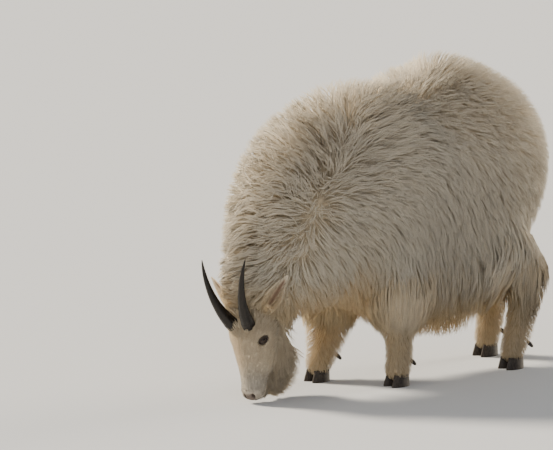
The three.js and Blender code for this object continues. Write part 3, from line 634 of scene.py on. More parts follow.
# hair length in millimetres at the same kind of places
LENGTH = [
    (wp(0, -0.50, 0.95), (165,)), (wp(0, -0.70, 0.70), (150,)), (wp(0.0, -0.82, 0.46), (100,)), (wp(0.22, -0.54, 0.72), (115,)),
    (wp(0.20, -0.62, 0.50), (105,)), (wp(0.13, -0.62, 0.36), (95,)), (wp(0, -0.60, 0.28), (110,)), (wp(0, -0.48, 0.34), (130,)),
    (wp(0.25, -0.42, 0.80), (120,)), (wp(0.26, -0.35, 0.60), (125,)), (wp(0.26, -0.20, 0.72), (115,)), (wp(0.26, -0.15, 0.50), (120,)),
    (wp(0.25, -0.30, 0.42), (120,)), (wp(0, -0.38, 1.0), (130,)), (wp(0, -0.2, 1.0), (110,)), (wp(0, 0.0, 1.07), (100,)),
    (wp(0.14, 0.02, 0.98), (85,)), (wp(0.26, 0.02, 0.80), (80,)), (wp(0.26, 0.0, 0.55), (95,)), (wp(0.25, 0.0, 0.40), (165,)),
    (wp(0, 0.14, 1.03), (75,)), (wp(0.2, 0.16, 0.85), (62,)), (wp(0.24, 0.2, 0.65), (70,)), (wp(0, 0.32, 0.85), (60,)),
    (wp(0.2, 0.32, 0.7), (62,)), (wp(0.2, 0.25, 0.45), (85,)), (wp(0, 0.42, 0.6), (70,)), (wp(0, 0.0, 0.33), (215,)),
    (wp(0, -0.25, 0.38), (150,)), (wp(0, 0.2, 0.45), (190,)), (wp(0.08, 0.16, 0.42), (170,)), (wp(0.10, 0.24, 0.36), (110,)), (wp(0.12, -0.33, 0.42), (140,)), (wp(0.12, -0.33, 0.34), (145,)), (wp(0.12, -0.33, 0.27), (100,)), (wp(0.12, -0.33, 0.19), (42,)),
    (wp(0.12, -0.33, 0.12), (26,)), (wp(0.12, -0.33, 0.04), (20,)), (wp(0.14, 0.28, 0.44), (100,)), (wp(0.05, 0.28, 0.44), (150,)), (wp(0.14, 0.31, 0.36), (70,)), (wp(0.08, 0.30, 0.34), (95,)), (wp(0.13, 0.32, 0.28), (44,)),
    (wp(0.12, 0.30, 0.20), (34,)), (wp(0.12, 0.28, 0.10), (26,)), (wp(0.12, 0.28, 0.04), (20,)), (wp(0, 0.44, 0.75), (55,)),
]
LEN_P, LEN_D = both_sides([(p, (v[0], 0, 0)) for p, v in LENGTH])
LEN_V = np.abs(LEN_D[:, 0])


def rbf(P, C, D, reach):
    out = np.zeros((len(P), D.shape[1] if D.ndim > 1 else 1), np.float32)
    tot = np.zeros(len(P), np.float32)
    P = P.astype(np.float32)
    for c, d in zip(C, D.reshape(len(C), -1)):
        w = np.exp(-((P - c) ** 2).sum(1) / (2 * reach * reach)) + 1e-7 / (((P - c) ** 2).sum(1) + 0.01)
        out += w[:, None] * d
        tot += w
    return out / tot[:, None]


def head_weight(P):
    """1 on the face, 0 on the neck."""
    n, d, l = to_head(P)
    k = n * 0.925 + (d - 20) * 0.375 + 130 * 0.925
    return smooth(0, 45, k) * (P[:, 2] < 0.47) * (np.linalg.norm(P - hp(30, -60), axis=1) < 0.26)


def flow_at(P):
    f = rbf(P, FLOW_P, FLOW_D, 0.075)
    w = head_weight(P)
    on = w > 0
    if on.any():
        Q = P[on]
        n, d, l = to_head(Q)
        low = smooth(-42, -92, d)                        # jaw and beard
        back = (-NOSE[None] - BROW[None] * (0.35 * smooth(0, -60, d) + 0.1)[:, None]
                + LEFT[None] * (0.25 * np.sign(l) * smooth(5, 40, np.abs(l)))[:, None])
        down = np.array((0.03, 0.15, -1.0))[None] - BROW[None] * 0.25
        hf = back * (1 - low)[:, None] + down * low[:, None]
        f[on] = f[on] * (1 - w[on])[:, None] + hf * w[on][:, None]
    return f


# ------------------------------------------------------------------ markings, shared by skin and coat
CREAM = np.array((0.90, 0.825, 0.69))
TAN = np.array((0.86, 0.67, 0.40))
DIRT = np.array((0.42, 0.34, 0.24))
GREY = np.array((0.57, 0.535, 0.48))


def blob(P, c, r):
    return np.exp(-(((P - c) / r) ** 2).sum(1))


def markings(P):
    col = np.repeat(CREAM[None], len(P), 0)
    x, y, z = P[:, 0], P[:, 1] - SHIFT_Y, P[:, 2] - LIFT

    def mix(w, c):
        w = np.clip(w, 0, 1)[:, None]
        np.copyto(col, col * (1 - w) + np.asarray(c) * w)
    big = noise_a(P, 0.16)
    mid = noise_b(P, 0.05)
    mix(0.35 * smooth(0.35, 0.75, big), (0.80, 0.73, 0.61))
    # warm underside, throat and inner legs
    inner = smooth(0.20, 0.08, np.abs(x))
    mix(0.85 * smooth(0.46, 0.30, z) * (0.5 + 0.5 * inner), TAN)
    mix(0.6 * smooth(0.62, 0.42, z) * inner * (y > -0.5), TAN)
    mix(0.7 * blob(P, wp(-0.12, -0.36, 0.20), (0.09, 0.12, 0.20)), TAN)
    # dirt on the hind legs, hocks and rump
    for c, r, a in ((wp(0.16, 0.33, 0.36), (0.10, 0.08, 0.16), 0.8), (wp(0.15, 0.33, 0.20), (0.08, 0.07, 0.14), 0.8),
                    (wp(0.20, 0.30, 0.62), (0.10, 0.10, 0.12), 0.45), (wp(-0.16, 0.38, 0.34), (0.10, 0.08, 0.16), 0.6),
                    (wp(-0.14, 0.36, 0.18), (0.08, 0.08, 0.12), 0.6)):
        mix(a * blob(P, c, r) * smooth(0.38, 0.72, 0.6 * mid + 0.4 * noise_c(P, 0.022)), DIRT)
    mix(0.35 * smooth(0.20, 0.05, z), (0.66, 0.58, 0.46))
    # face
    n, d, l = to_head(P)
    w = head_weight(P)
    mix(0.35 * w, (0.76, 0.71, 0.63))
    mix(0.75 * w * smooth(60, 150, n) * smooth(-95, -60, d), GREY)
    mix(0.55 * w * blob(P, hp(-28, 0, 50), (0.028, 0.028, 0.028)), (0.47, 0.37, 0.27))
    for s in (1, -1):
        mix(0.45 * w * blob(P, hp(-1, -15, 62 * s), (0.026, 0.026, 0.026)), (0.50, 0.42, 0.33))
        mix(0.30 * w * blob(P, hp(45, 4, 42 * s), (0.03, 0.03, 0.04)), (0.55, 0.46, 0.36))
        mix(1.0 * w * blob(P, hp(178, -36, 22 * s), (0.013, 0.013, 0.013)), (0.09, 0.07, 0.06))
    pad = smooth(172, 180, n) * smooth(-62, -54, d) * smooth(-8, -20, d) * smooth(24, 15, np.abs(l))
    mix(0.9 * w * pad, (0.13, 0.10, 0.09))
    return col


def lips(P, col):
    """The dark line of the mouth and the dark skin round the eyes, on the bare skin only."""
    n, d, l = to_head(P)
    w = smooth(4.4, 2.0, np.abs(d - mouth_d(n, l))) * smooth(104, 116, n) * (n < 215)
    col = col * (1 - 0.85 * w)[:, None] + np.array((0.07, 0.05, 0.045)) * (0.85 * w)[:, None]
    for s in (1, -1):
        g, e1, e2 = eye_frame(s)
        q = (P - EYE[s]) * 1000
        k = np.sqrt((q @ e1 / 22.0) ** 2 + (q @ e2 / 14.5) ** 2)
        w = smooth(1.25, 0.85, k) * (q @ g > 0) * (q @ g < 30)
        col = col * (1 - 0.97 * w)[:, None] + np.array((0.022, 0.016, 0.013)) * (0.97 * w)[:, None]
    return col


# ------------------------------------------------------------------ the skin as one object
def ear_loft(side, steps=26, half=12):
    root, along, opening, wide = ear_frame(side)
    rings = []
    for i in range(steps + 1):
        t = i / steps
        w = EAR_WIDTH / 2 * float(table(EAR_WIDTH_AT, t)) * 0.93
        thick = 6.5 * (1 - 0.72 * t)
        cup = w * (0.66 - 0.35 * t)
        c = root + (along * (-16 + (EAR_LENGTH - 4 + 16) * t) - opening * (10 * t * t + 1.2)) / 1000
        ring = []
        for k in range(half + 1):
            s = -1 + 2 * k / half
            rim = 1.3 * math.exp(-((abs(s) - 0.93) / 0.09) ** 2)
            rib = 0.9 * math.exp(-((s - 0.25) / 0.10) ** 2) + 0.7 * math.exp(-((s + 0.30) / 0.09) ** 2)
            ring.append(c + (wide * w * s - opening * (cup * (1 - s * s) - rim - rib * (1 - t))) / 1000)
        for k in range(half - 1, 0, -1):
            s = -1 + 2 * k / half
            ring.append(c + (wide * w * s - opening * (cup * (1 - s * s) + thick * math.sqrt(1 - s * s) + 0.4)) / 1000)
        rings.append(ring)
    rings = np.array(rings)
    if side < 0:
        rings = rings[:, ::-1]
    V, quads, tris = loft(rings)
    # 1 on the inner, hollow face
    q = V - root
    t = q @ along * 1000 / EAR_LENGTH
    s = q @ wide * 1000
    w = EAR_WIDTH / 2 * table(EAR_WIDTH_AT, np.clip(t, 0, 1))
    depth = -(q @ opening * 1000) - 10 * t * t - w * (0.66 - 0.35 * t) * (1 - (s / w) ** 2)
    inside = smooth(3.2, 1.4, depth) * smooth(1.0, 0.8, np.abs(s) / w)
    return V, quads, tris, t, s / w, inside


def eye_frame(side):
    g = unit(LEFT * side * 0.83 + BROW * 0.55 + NOSE * 0.04)
    t = unit(LEFT * side * 0.55 - BROW * 0.83)
    e1 = unit(-NOSE * 0.60 + t * 0.80)
    e1 = unit(e1 - (e1 @ g) * g)
    return g, e1, np.cross(g, e1)


EYE_A, EYE_B = 15.8, 8.8            # half length and half height of the opening, mm


def lid_ring(side, count=48):
    g, e1, e2 = eye_frame(side)
    prof = [(-0.2, 15.9), (0.1, 17.0), (0.9, 18.2), (2.2, 18.9), (4.2, 19.0), (7.0, 18.2), (10.5, 16.0), (12.5, 13.5)]
    rings = []
    for k in range(count):
        a = 2 * math.pi * k / count
        cx, sy = math.cos(a), math.sin(a)
        x = EYE_A * cx * (1 + 0.10 * abs(cx) ** 6)
        y = EYE_B * sy * (abs(sy) ** 0.15) * (1.05 if sy * side > 0 else 0.95)
        rad = math.hypot(x, y)
        alpha = math.asin(min(rad / 16.5, 0.97))
        ux, uy = x / rad, y / rad
        row = []
        for o, r in prof:
            al = alpha + o / 18.0
            r = r - 1.1 * max(0.0, abs(cx) - 0.8) / 0.2 * (1 if o > 1 else 0)
            row.append(EYE[side] + (g * math.cos(al) + (e1 * ux + e2 * uy) * math.sin(al)) * r / 1000)
        rings.append(row)
    R = np.array(rings)                     # count x profile
    V = R.reshape(-1, 3)
    m, k = R.shape[:2]
    i = np.arange(m)
    quads = []
    for j in range(k - 1):
        quads.append(np.stack([i * k + j, ((i + 1) % m) * k + j, ((i + 1) % m) * k + j + 1, i * k + j + 1], 1))
    quads = np.concatenate(quads)
    quads = quads[:, ::-1]
    dark = np.tile(np.interp([p[0] for p in prof], [0, 4.4, 10.5], [1.0, 0.92, 0.15]), m)
    return V, quads, dark


def normals_out(V, Q, centre_out):
    """Turns faces so that their normals point along centre_out."""
    n = np.cross(V[Q[:, 1]] - V[Q[:, 0]], V[Q[:, 2]] - V[Q[:, 0]])
    bad = (n * centre_out).sum(1) < 0
    Q = Q.copy()
    Q[bad] = Q[bad][:, ::-1]
    return Q


def build_skin():
    V, Q = make_skin()
    n = skin_grid.normal(V[Q].mean(1))
    fn = np.cross(V[Q[:, 1]] - V[Q[:, 0]], V[Q[:, 2]] - V[Q[:, 0]])
    if (fn * n).sum() < 0:
        Q = Q[:, ::-1]
    # folds of loose skin behind the jaw and across the throat
    for c, d, r, a in ((hp(-70, -85, 88), unit(LEFT * 0.25 - NOSE * 0.9 - BROW * 0.3), 0.045, 0.0035),
                       (hp(-95, -110, 80), unit(LEFT * 0.2 - NOSE * 0.9 - BROW * 0.4), 0.05, 0.0035)):
        q = V - c
        w = np.exp(-(q ** 2).sum(1) / (2 * r * r))
        across = np.sin((q @ np.cross(d, LEFT)) * 2 * math.pi / 0.022)
        V = V + skin_grid.normal(V) * (w * a * across)[:, None]
    base = markings(V)
    # partly painted shade: the skin under the coat is darker and browner than the markings, standing in for the shade
    # deep in the coat as well as the skin's own tone
    root = base * np.array((0.90, 0.83, 0.72)) * (0.85 + 0.15 * noise_c(V, 0.012))[:, None]
    w = head_weight(V)
    root = root * (1 - w)[:, None] + (base * (0.93, 0.90, 0.86)) * w[:, None]
    col = lips(V, root)
    verts, quads, tris, cols = [V], [Q], [], [col]
    at = len(V)
    islands = [("body", 0, at)]
    for side in (1, -1):
        Ve, Qe, Te, t, s, inside = ear_loft(side)
        ce = markings(Ve) * (0.93, 0.90, 0.86)
        pink = np.array((0.15, 0.088, 0.058)) * (0.85 + 0.3 * noise_c(Ve, 0.006))[:, None]
        stripe = inside * (0.18 + 0.82 * np.exp(-((s + 0.04) / 0.36) ** 2)) * smooth(1.0, 0.75, t) * smooth(-0.05, 0.12, t)
        ce = ce * (1 - stripe)[:, None] + pink * stripe[:, None]
        verts.append(Ve)
        quads.append(Qe + at)
        tris.append(Te + at)
        cols.append(ce)
        islands.append(("ear_left" if side > 0 else "ear_right", at, at + len(Ve)))
        at += len(Ve)
        Vl, Ql, dark = lid_ring(side)
        Ql = normals_out(Vl, Ql, Vl[Ql].mean(1) - EYE[side])
        cl = markings(Vl) * (0.90, 0.85, 0.80)
        cl = cl * (1 - dark)[:, None] + np.array((0.030, 0.022, 0.018)) * dark[:, None]
        verts.append(Vl)
        quads.append(Ql + at)
        cols.append(cl)
        at += len(Vl)
    skin = make_mesh("skin", np.concatenate(verts), np.concatenate(quads), np.concatenate(tris), np.concatenate(cols))
    bpy.context.view_layer.objects.active = skin
    skin.select_set(True)
    bpy.ops.object.mode_set(mode="EDIT")
    bpy.ops.mesh.select_all(action="SELECT")
    bpy.ops.uv.smart_project(angle_limit=math.radians(72), island_margin=0.002)
    bpy.ops.object.mode_set(mode="OBJECT")
    skin.data.uv_layers[0].name = "OFBake"
    skin.select_set(False)
    return skin, islands


skin, islands = build_skin()
me = skin.data
me.calc_loop_triangles()
nt = len(me.loop_triangles)
tri_v = np.empty(nt * 3, np.int32)
me.loop_triangles.foreach_get("vertices", tri_v)
tri_l = np.empty(nt * 3, np.int32)
me.loop_triangles.foreach_get("loops", tri_l)
tri_v, tri_l = tri_v.reshape(-1, 3), tri_l.reshape(-1, 3)
SV = np.empty(len(me.vertices) * 3, np.float32)
me.vertices.foreach_get("co", SV)
SV = SV.reshape(-1, 3)
SN = np.empty(len(me.vertices) * 3, np.float32)
me.vertices.foreach_get("normal", SN)
SN = SN.reshape(-1, 3)
SUV = np.empty(len(me.loops) * 2, np.float32)
me.uv_layers["OFBake"].data.foreach_get("uv", SUV)
SUV = SUV.reshape(-1, 2)
tri_p = SV[tri_v]
tri_c = tri_p.mean(1)
tri_a = np.linalg.norm(np.cross(tri_p[:, 1] - tri_p[:, 0], tri_p[:, 2] - tri_p[:, 0]), axis=1) / 2
on_island = {k: (tri_v[:, 0] >= a) & (tri_v[:, 0] < b) for k, a, b in islands}

head_skin = Grid(skin_field, (-0.16, -0.76, -0.005), (0.21, -0.36, 0.46), 0.006)
head_coat = Grid(coat_field, (-0.16, -0.76, -0.005), (0.21, -0.36, 0.46), 0.006)


def look(fine, coarse, P, what):
    out = coarse(P) if what == "f" else coarse.normal(P)
    on = np.all((P > fine.lo + 0.004) & (P < fine.lo + fine.step * (fine.n - 1) - 0.004), axis=1)
    if on.any():
        out[on] = fine(P[on]) if what == "f" else fine.normal(P[on])
    return out


def skin_f(P):
    return look(head_skin, skin_grid, P, "f")


def skin_n(P):
    return look(head_skin, skin_grid, P, "g")


def coat_f(P):
    return look(head_coat, coat_grid, P, "f")


def coat_n(P):
    return look(head_coat, coat_grid, P, "g")


def scatter(mask, density, seed):
    """Places on the masked faces; density is per square metre, one number for each face."""
    r = np.random.default_rng(seed)
    ids = np.nonzero(mask)[0]
    want = np.cumsum(tri_a[ids] * density[ids])
    total = int(want[-1])
    hit = ids[np.searchsorted(want, (np.arange(total) + r.random(total)) * want[-1] / total)]
    u, v = r.random(total), r.random(total)
    over = u + v > 1
    u[over], v[over] = 1 - u[over], 1 - v[over]
    w = np.stack([1 - u - v, u, v], 1)
    P = (tri_p[hit] * w[:, :, None]).sum(1)
    N = norm_rows((SN[tri_v[hit]] * w[:, :, None]).sum(1))
    UV = (SUV[tri_l[hit]] * w[:, :, None]).sum(1)
    return P.astype(np.float64), N, UV


def sweep(P, N, length, rise, steps, droop=None, stay=0.004, way=None, free=0.0, stray=0.0):
    """Grows one line from each root: along the lie of the coat, rising off the skin by the angle rise."""
    n = len(P)
    out = [P]
    pos = P.copy()
    prev = None
    if stray:
        own = np.stack([noise_a(P, 0.013), noise_b(P, 0.013), noise_c(P, 0.013)], 1) - 0.5
        own = own * stray * 2.2
    down = np.array((0, 0, -1.0))
    for k in range(steps):
        t = (k + 0.5) / steps
        nn = N if k == 0 else norm_rows(skin_n(pos) * (1 - t) + coat_n(pos) * t)
        f = (flow_at(pos) if way is None else way(pos))
        if stray:
            f = f + own
        f = f - (f * nn).sum(1)[:, None] * nn
        f = norm_rows(f)
        a = np.clip(rise * (1.45 - 0.9 * t), 0.02, 1.5)
        d = f * np.cos(a)[:, None] + nn * np.sin(a)[:, None]
        if droop is not None:
            d = d + down * (droop * t)[:, None]
        d = norm_rows(d)
        if prev is not None:
            d = norm_rows(d * 0.65 + prev * 0.35)
        prev = d
        pos = pos + d * (length / steps)[:, None]
        over = np.clip(coat_f(pos) + 0.001 - free, 0, None)
        pos = pos - coat_n(pos) * over[:, None]
        under = np.clip(stay * t + 0.001 - skin_f(pos), 0, 0.03)
        pos = pos + skin_n(pos) * under[:, None]
        out.append(pos)
    return np.stack(out, 1)


def nearest(P, G):
    tree = KDTree(len(G))
    for i, g in enumerate(G):
        tree.insert(g, i)
    tree.balance()
    return np.array([tree.find(p)[1] for p in P])


def gather(L, P, share, pull, seed, spread=0.0022, wave=0.0, waves=3.0):
    """Draws lines together into locks: each follows the nearest of a few leading lines towards its tip."""
    r = np.random.default_rng(seed)
    n, m = L.shape[:2]
    lead = r.choice(n, max(2, int(n / share)), replace=False)
    g = lead[nearest(P, P[lead])]
    t = np.linspace(0, 1, m)[None, :, None]
    off = (L[:, :1] - L[g][:, :1])
    target = L[g] + off * 0.18 + r.normal(0, spread, (n, 1, 3))
    w = pull[:, None, None] * t ** 1.2
    out = L * (1 - w) + target * w
    if np.any(wave):
        ph = r.random(n)[g] * 6.28
        way = norm_rows(L[g][:, -1] - L[g][:, 0])
        side = norm_rows(np.cross(way, coat_n(P)))
        amp = (wave * np.ones(n))[:, None, None] * t * np.sin(ph[:, None, None] + t * waves * 6.28 * 0.5)
        out = out + side[:, None, :] * amp
        out = out + np.cross(side, way)[:, None, :] * (amp * 0.4)
    return out, g


def tufts(name, L, UV, width, tone, N, flat=0.5, root_dark=0.90, tip_light=1.03, tall=None, col=None):
    """Closed, three-sided, tapering tufts along the lines L (n, m, 3). tone is a brightness for each."""
    n, m = L.shape[:2]
    T = np.empty_like(L)
    T[:, 1:-1] = L[:, 2:] - L[:, :-2]
    T[:, 0], T[:, -1] = L[:, 1] - L[:, 0], L[:, -1] - L[:, -2]
    T = norm_rows(T)
    up0 = norm_rows(N)[:, None, :] * np.ones((1, m, 1))
    S = np.cross(T, up0)
    bad = np.linalg.norm(S, axis=-1) < 0.25
    alt = np.cross(T, np.array((0.31, -0.64, 0.70)))
    S = np.where(bad[..., None], alt, S)
    S = norm_rows(S)
    U = np.cross(S, T)
    t = np.linspace(0, 1, m)
    prof = (0.66 + 0.6 * t) * (1 - t ** 3.2)
    w = width[:, None] * prof[None] / 2
    rings = m - 1
    V = np.empty((n, rings * 3 + 1, 3), np.float32)
    for k in range(rings):
        wk = w[:, k, None]
        V[:, 3 * k] = L[:, k] - S[:, k] * wk - U[:, k] * wk * flat * 0.5
        V[:, 3 * k + 1] = L[:, k] + S[:, k] * wk - U[:, k] * wk * flat * 0.5
        V[:, 3 * k + 2] = L[:, k] + U[:, k] * wk * flat
    V[:, -1] = L[:, -1]
    per = rings * 3 + 1
    quads, tris = [], [(0, 1, 2)]
    for k in range(rings - 1):
        a = 3 * k
        for i in range(3):
            j = (i + 1) % 3
            quads.append((a + i, a + 3 + i, a + 3 + j, a + j))
    a = 3 * (rings - 1)
    for i in range(3):
        tris.append((a + i, per - 1, a + (i + 1) % 3))
    base = (np.arange(n) * per)[:, None, None]
    quads = (np.array(quads)[None] + base).reshape(-1, 4) if quads else None
    tris = (np.array(tris)[None] + base).reshape(-1, 3)
    # colour: the markings with painted shade towards the root, darker and browner where the coat is deep, and a little
    # lighter at the tip
    tv = np.concatenate([np.repeat(t[:-1], 3), [1.0]])
    # painted shade: each tuft darkens from its tip factor down to its root factor, as the coat's depth would shade the
    # roots
    root_shade_fade = root_dark + (tip_light - root_dark) * np.clip(tv * 1.5, 0, 1) ** 0.8
    base_col = col if col is not None else markings(L[:, 0] * 0.6 + L[:, -1] * 0.4)
    warm = np.array((1.0, 0.95, 0.86))
    # painted shade: a browner tint near the root, for the shade deep inside the coat
    depth = (1 - np.clip(tv * 1.7, 0, 1))[None, :, None]
    C = base_col[:, None, :] * tone[:, None, None] * root_shade_fade[None, :, None] * (1 - depth * (1 - warm))
    # bake map: a small patch at the root's place
    px = np.concatenate([np.tile((0.0, 1.0, 0.5), rings), [0.5]])
    py = np.concatenate([np.repeat(t[:-1], 3), [1.0]])
    uv = UV[:, None, :] + (np.stack([px, py], 1) - 0.5)[None] * 0.003
    uv = np.clip(uv, 0.0005, 0.9995)
    ob = make_mesh(name, V.reshape(-1, 3), quads, tris, np.clip(C, 0, 0.95).reshape(-1, 3), uv.reshape(-1, 2))
    # the shading follows the body's form more than each tuft's own edges
    H = coat_n(L.reshape(-1, 3)).reshape(L.shape)
    own = np.empty_like(V, dtype=np.float32)
    for k in range(rings):
        own[:, 3 * k] = -S[:, k] * 0.85 - U[:, k] * 0.3
        own[:, 3 * k + 1] = S[:, k] * 0.85 - U[:, k] * 0.3
        own[:, 3 * k + 2] = U[:, k]
        for i in range(3):
            own[:, 3 * k + i] = own[:, 3 * k + i] * 0.58 + H[:, k] * 0.75
    own[:, -1] = H[:, -1]
    ob.data.normals_split_custom_set_from_vertices(norm_rows(own).reshape(-1, 3))
    ob.data.materials.append(coat_material)
    return ob


# ------------------------------------------------------------------ materials
def nodes_of(name):
    m = bpy.data.materials.new(name)
    m.use_nodes = True
    nt = m.node_tree
    nt.nodes.clear()
    out = nt.nodes.new("ShaderNodeOutputMaterial")
    bsdf = nt.nodes.new("ShaderNodeBsdfPrincipled")
    nt.links.new(bsdf.outputs["BSDF"], out.inputs["Surface"])
    return m, nt, bsdf, out


def hair_material(name, amount, clear, scale=1.0):
    """Markings from the mesh, broken up by fine noise; some light passes through."""
    m, nt, b, out = nodes_of(name)
    N, Lk = nt.nodes, nt.links
    at = N.new("ShaderNodeAttribute")
    at.attribute_name = "Coat"
    tc = N.new("ShaderNodeTexCoord")
    fine = N.new("ShaderNodeTexNoise")
    fine.inputs["Scale"].default_value = 420.0 * scale
    fine.inputs["Detail"].default_value = 2.0
    Lk.new(tc.outputs["Object"], fine.inputs["Vector"])
    broad = N.new("ShaderNodeTexNoise")
    broad.inputs["Scale"].default_value = 28.0
    broad.inputs["Detail"].default_value = 3.0
    Lk.new(tc.outputs["Object"], broad.inputs["Vector"])
    r1 = N.new("ShaderNodeMapRange")
    r1.inputs["From Min"].default_value, r1.inputs["From Max"].default_value = 0.3, 0.7
    r1.inputs["To Min"].default_value, r1.inputs["To Max"].default_value = 1 - amount, 1 + amount * 0.35
    Lk.new(fine.outputs["Fac"], r1.inputs["Value"])
    r2 = N.new("ShaderNodeMapRange")
    r2.inputs["From Min"].default_value, r2.inputs["From Max"].default_value = 0.3, 0.7
    r2.inputs["To Min"].default_value, r2.inputs["To Max"].default_value = 0.93, 1.03
    Lk.new(broad.outputs["Fac"], r2.inputs["Value"])
    mul = N.new("ShaderNodeMath")
    mul.operation = "MULTIPLY"
    Lk.new(r1.outputs["Result"], mul.inputs[0])
    Lk.new(r2.outputs["Result"], mul.inputs[1])
    mix = N.new("ShaderNodeVectorMath")
    mix.operation = "SCALE"
    Lk.new(at.outputs["Color"], mix.inputs[0])
    Lk.new(mul.outputs["Value"], mix.inputs["Scale"])
    Lk.new(mix.outputs["Vector"], b.inputs["Base Color"])
    b.inputs["Roughness"].default_value = 0.62
    b.inputs["Specular IOR Level"].default_value = 0.25
    if clear > 0:
        tr = N.new("ShaderNodeBsdfTranslucent")
        Lk.new(mix.outputs["Vector"], tr.inputs["Color"])
        mx = N.new("ShaderNodeMixShader")
        mx.inputs["Fac"].default_value = clear
        Lk.new(b.outputs["BSDF"], mx.inputs[1])
        Lk.new(tr.outputs["BSDF"], mx.inputs[2])
        Lk.new(mx.outputs["Shader"], out.inputs["Surface"])
    return m, nt, b, fine, tc


coat_material, *_ = hair_material("coat_hair", 0.10, 0.48)
skin_material, snt, sb, sfine, stc = hair_material("skin_under_coat", 0.16, 0.0, 0.6)
bump = snt.nodes.new("ShaderNodeBump")
bump.inputs["Strength"].default_value = 0.6
bump.inputs["Distance"].default_value = 0.0015
snt.links.new(sfine.outputs["Fac"], bump.inputs["Height"])
snt.links.new(bump.outputs["Normal"], sb.inputs["Normal"])
sb.inputs["Roughness"].default_value = 0.72
skin.data.materials.append(skin_material)


def dark_material(name, low, high, rough, coat, scale, stretch, bump_height):
    """Keratin: two dark tones in streaks, with a fine relief."""
    m, nt, b, out = nodes_of(name)
    N, Lk = nt.nodes, nt.links
    tc = N.new("ShaderNodeTexCoord")
    mp = N.new("ShaderNodeMapping")
    mp.inputs["Scale"].default_value = stretch
    Lk.new(tc.outputs["Object"], mp.inputs["Vector"])
    nz = N.new("ShaderNodeTexNoise")
    nz.inputs["Scale"].default_value = scale
    nz.inputs["Detail"].default_value = 4.0
    Lk.new(mp.outputs["Vector"], nz.inputs["Vector"])
    ramp = N.new("ShaderNodeValToRGB")
    ramp.color_ramp.elements[0].position, ramp.color_ramp.elements[1].position = 0.32, 0.72
    ramp.color_ramp.elements[0].color = (*low, 1)
    ramp.color_ramp.elements[1].color = (*high, 1)
    Lk.new(nz.outputs["Fac"], ramp.inputs["Fac"])
    Lk.new(ramp.outputs["Color"], b.inputs["Base Color"])
    rr = N.new("ShaderNodeMapRange")
    rr.inputs["To Min"].default_value, rr.inputs["To Max"].default_value = rough * 0.8, rough * 1.3
    Lk.new(nz.outputs["Fac"], rr.inputs["Value"])
    Lk.new(rr.outputs["Result"], b.inputs["Roughness"])
    b.inputs["Coat Weight"].default_value = coat
    b.inputs["Coat Roughness"].default_value = 0.22
    b.inputs["Specular IOR Level"].default_value = 0.28
    bp = N.new("ShaderNodeBump")
    bp.inputs["Strength"].default_value = 0.5
    bp.inputs["Distance"].default_value = bump_height
    Lk.new(nz.outputs["Fac"], bp.inputs["Height"])
    Lk.new(bp.outputs["Normal"], b.inputs["Normal"])
    return m


horn_material = dark_material("horn_keratin", (0.004, 0.0035, 0.003), (0.024, 0.017, 0.012), 0.36, 0.10, 60.0, (6, 6, 0.7), 0.0006)
hoof_material = dark_material("hoof_keratin", (0.016, 0.013, 0.011), (0.075, 0.060, 0.048), 0.5, 0.1, 90.0, (5, 5, 1.0), 0.0005)


def eye_material():
    m, nt, b, out = nodes_of("wet_eye")
    at = nt.nodes.new("ShaderNodeAttribute")
    at.attribute_name = "Coat"
    tc = nt.nodes.new("ShaderNodeTexCoord")
    nz = nt.nodes.new("ShaderNodeTexNoise")
    nz.inputs["Scale"].default_value = 900.0
    nt.links.new(tc.outputs["Object"], nz.inputs["Vector"])
    mr = nt.nodes.new("ShaderNodeMapRange")
    mr.inputs["To Min"].default_value, mr.inputs["To Max"].default_value = 0.7, 1.2
    nt.links.new(nz.outputs["Fac"], mr.inputs["Value"])
    sc = nt.nodes.new("ShaderNodeVectorMath")
    sc.operation = "SCALE"
    nt.links.new(at.outputs["Color"], sc.inputs[0])
    nt.links.new(mr.outputs["Result"], sc.inputs["Scale"])
    nt.links.new(sc.outputs["Vector"], b.inputs["Base Color"])
    b.inputs["Roughness"].default_value = 0.08
    b.inputs["Specular IOR Level"].default_value = 0.22
    b.inputs["Coat Weight"].default_value = 0.25
    b.inputs["Coat Roughness"].default_value = 0.03
    return m


eye_mat = eye_material()


# ------------------------------------------------------------------ eyes, horns and hooves
def solid_from_rings(name, rings, material, node):
    V, quads, tris = loft(rings)
    n = np.cross(V[tris[:, 1]] - V[tris[:, 0]], V[tris[:, 2]] - V[tris[:, 0]])
    vol = (V[tris[:, 0]] * n).sum()
    a, b, c, d = (V[quads[:, i]] for i in range(4))
    vol += (a * np.cross(b - a, c - a)).sum() + (a * np.cross(c - a, d - a)).sum()
    if vol < 0:
        quads, tris = quads[:, ::-1], tris[:, ::-1]
    ob = make_mesh(name, V, quads, tris)
    ob.data.materials.append(material)
    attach(ob, "root")
    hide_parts(node)
    return ob


def build_horn(side, word):
    rings = []
    count, around = 120, 40
    rows = horn_line(side, count)
    for p, d, t, along in rows:
        across = unit(LEFT - (LEFT @ d) * d)
        front = np.cross(d, across)
        r = float(table(HORN_RADIUS, t))
        # yearly rings, close together at the base, fading out past the middle
        s = max(along, 0.0)
        ring = 0.0
        for c, a in ((9, 1.0), (17, 0.7), (26, 0.9), (36, 0.6), (47, 0.75), (60, 0.5), (75, 0.45), (93, 0.3), (114, 0.2)):
            ring -= a * math.exp(-((s - c) / 1.7) ** 2) * 0.9
        lip = 0.8 * math.exp(-(s / 7.0) ** 2) if along > -8 else 0.0
        loop = []
        for k in range(around):
            a = 2 * math.pi * k / around
            fl = 0.22 * math.sin(9 * a + 0.6 * math.sin(s / 20)) * (1 - t) + 0.12 * math.sin(17 * a + 1.3)
            rr = max(r + ring * (0.75 + 0.25 * math.sin(a * 2 + s)) + lip + fl * min(1, r / 8), 0.5)
            loop.append(p + (front * 1.04 * rr * math.cos(a) + across * 0.93 * rr * math.sin(a)) / 1000)
        rings.append(loop)
    return solid_from_rings("horn_" + word + "_ringed", rings, horn_material, "horn_" + word)


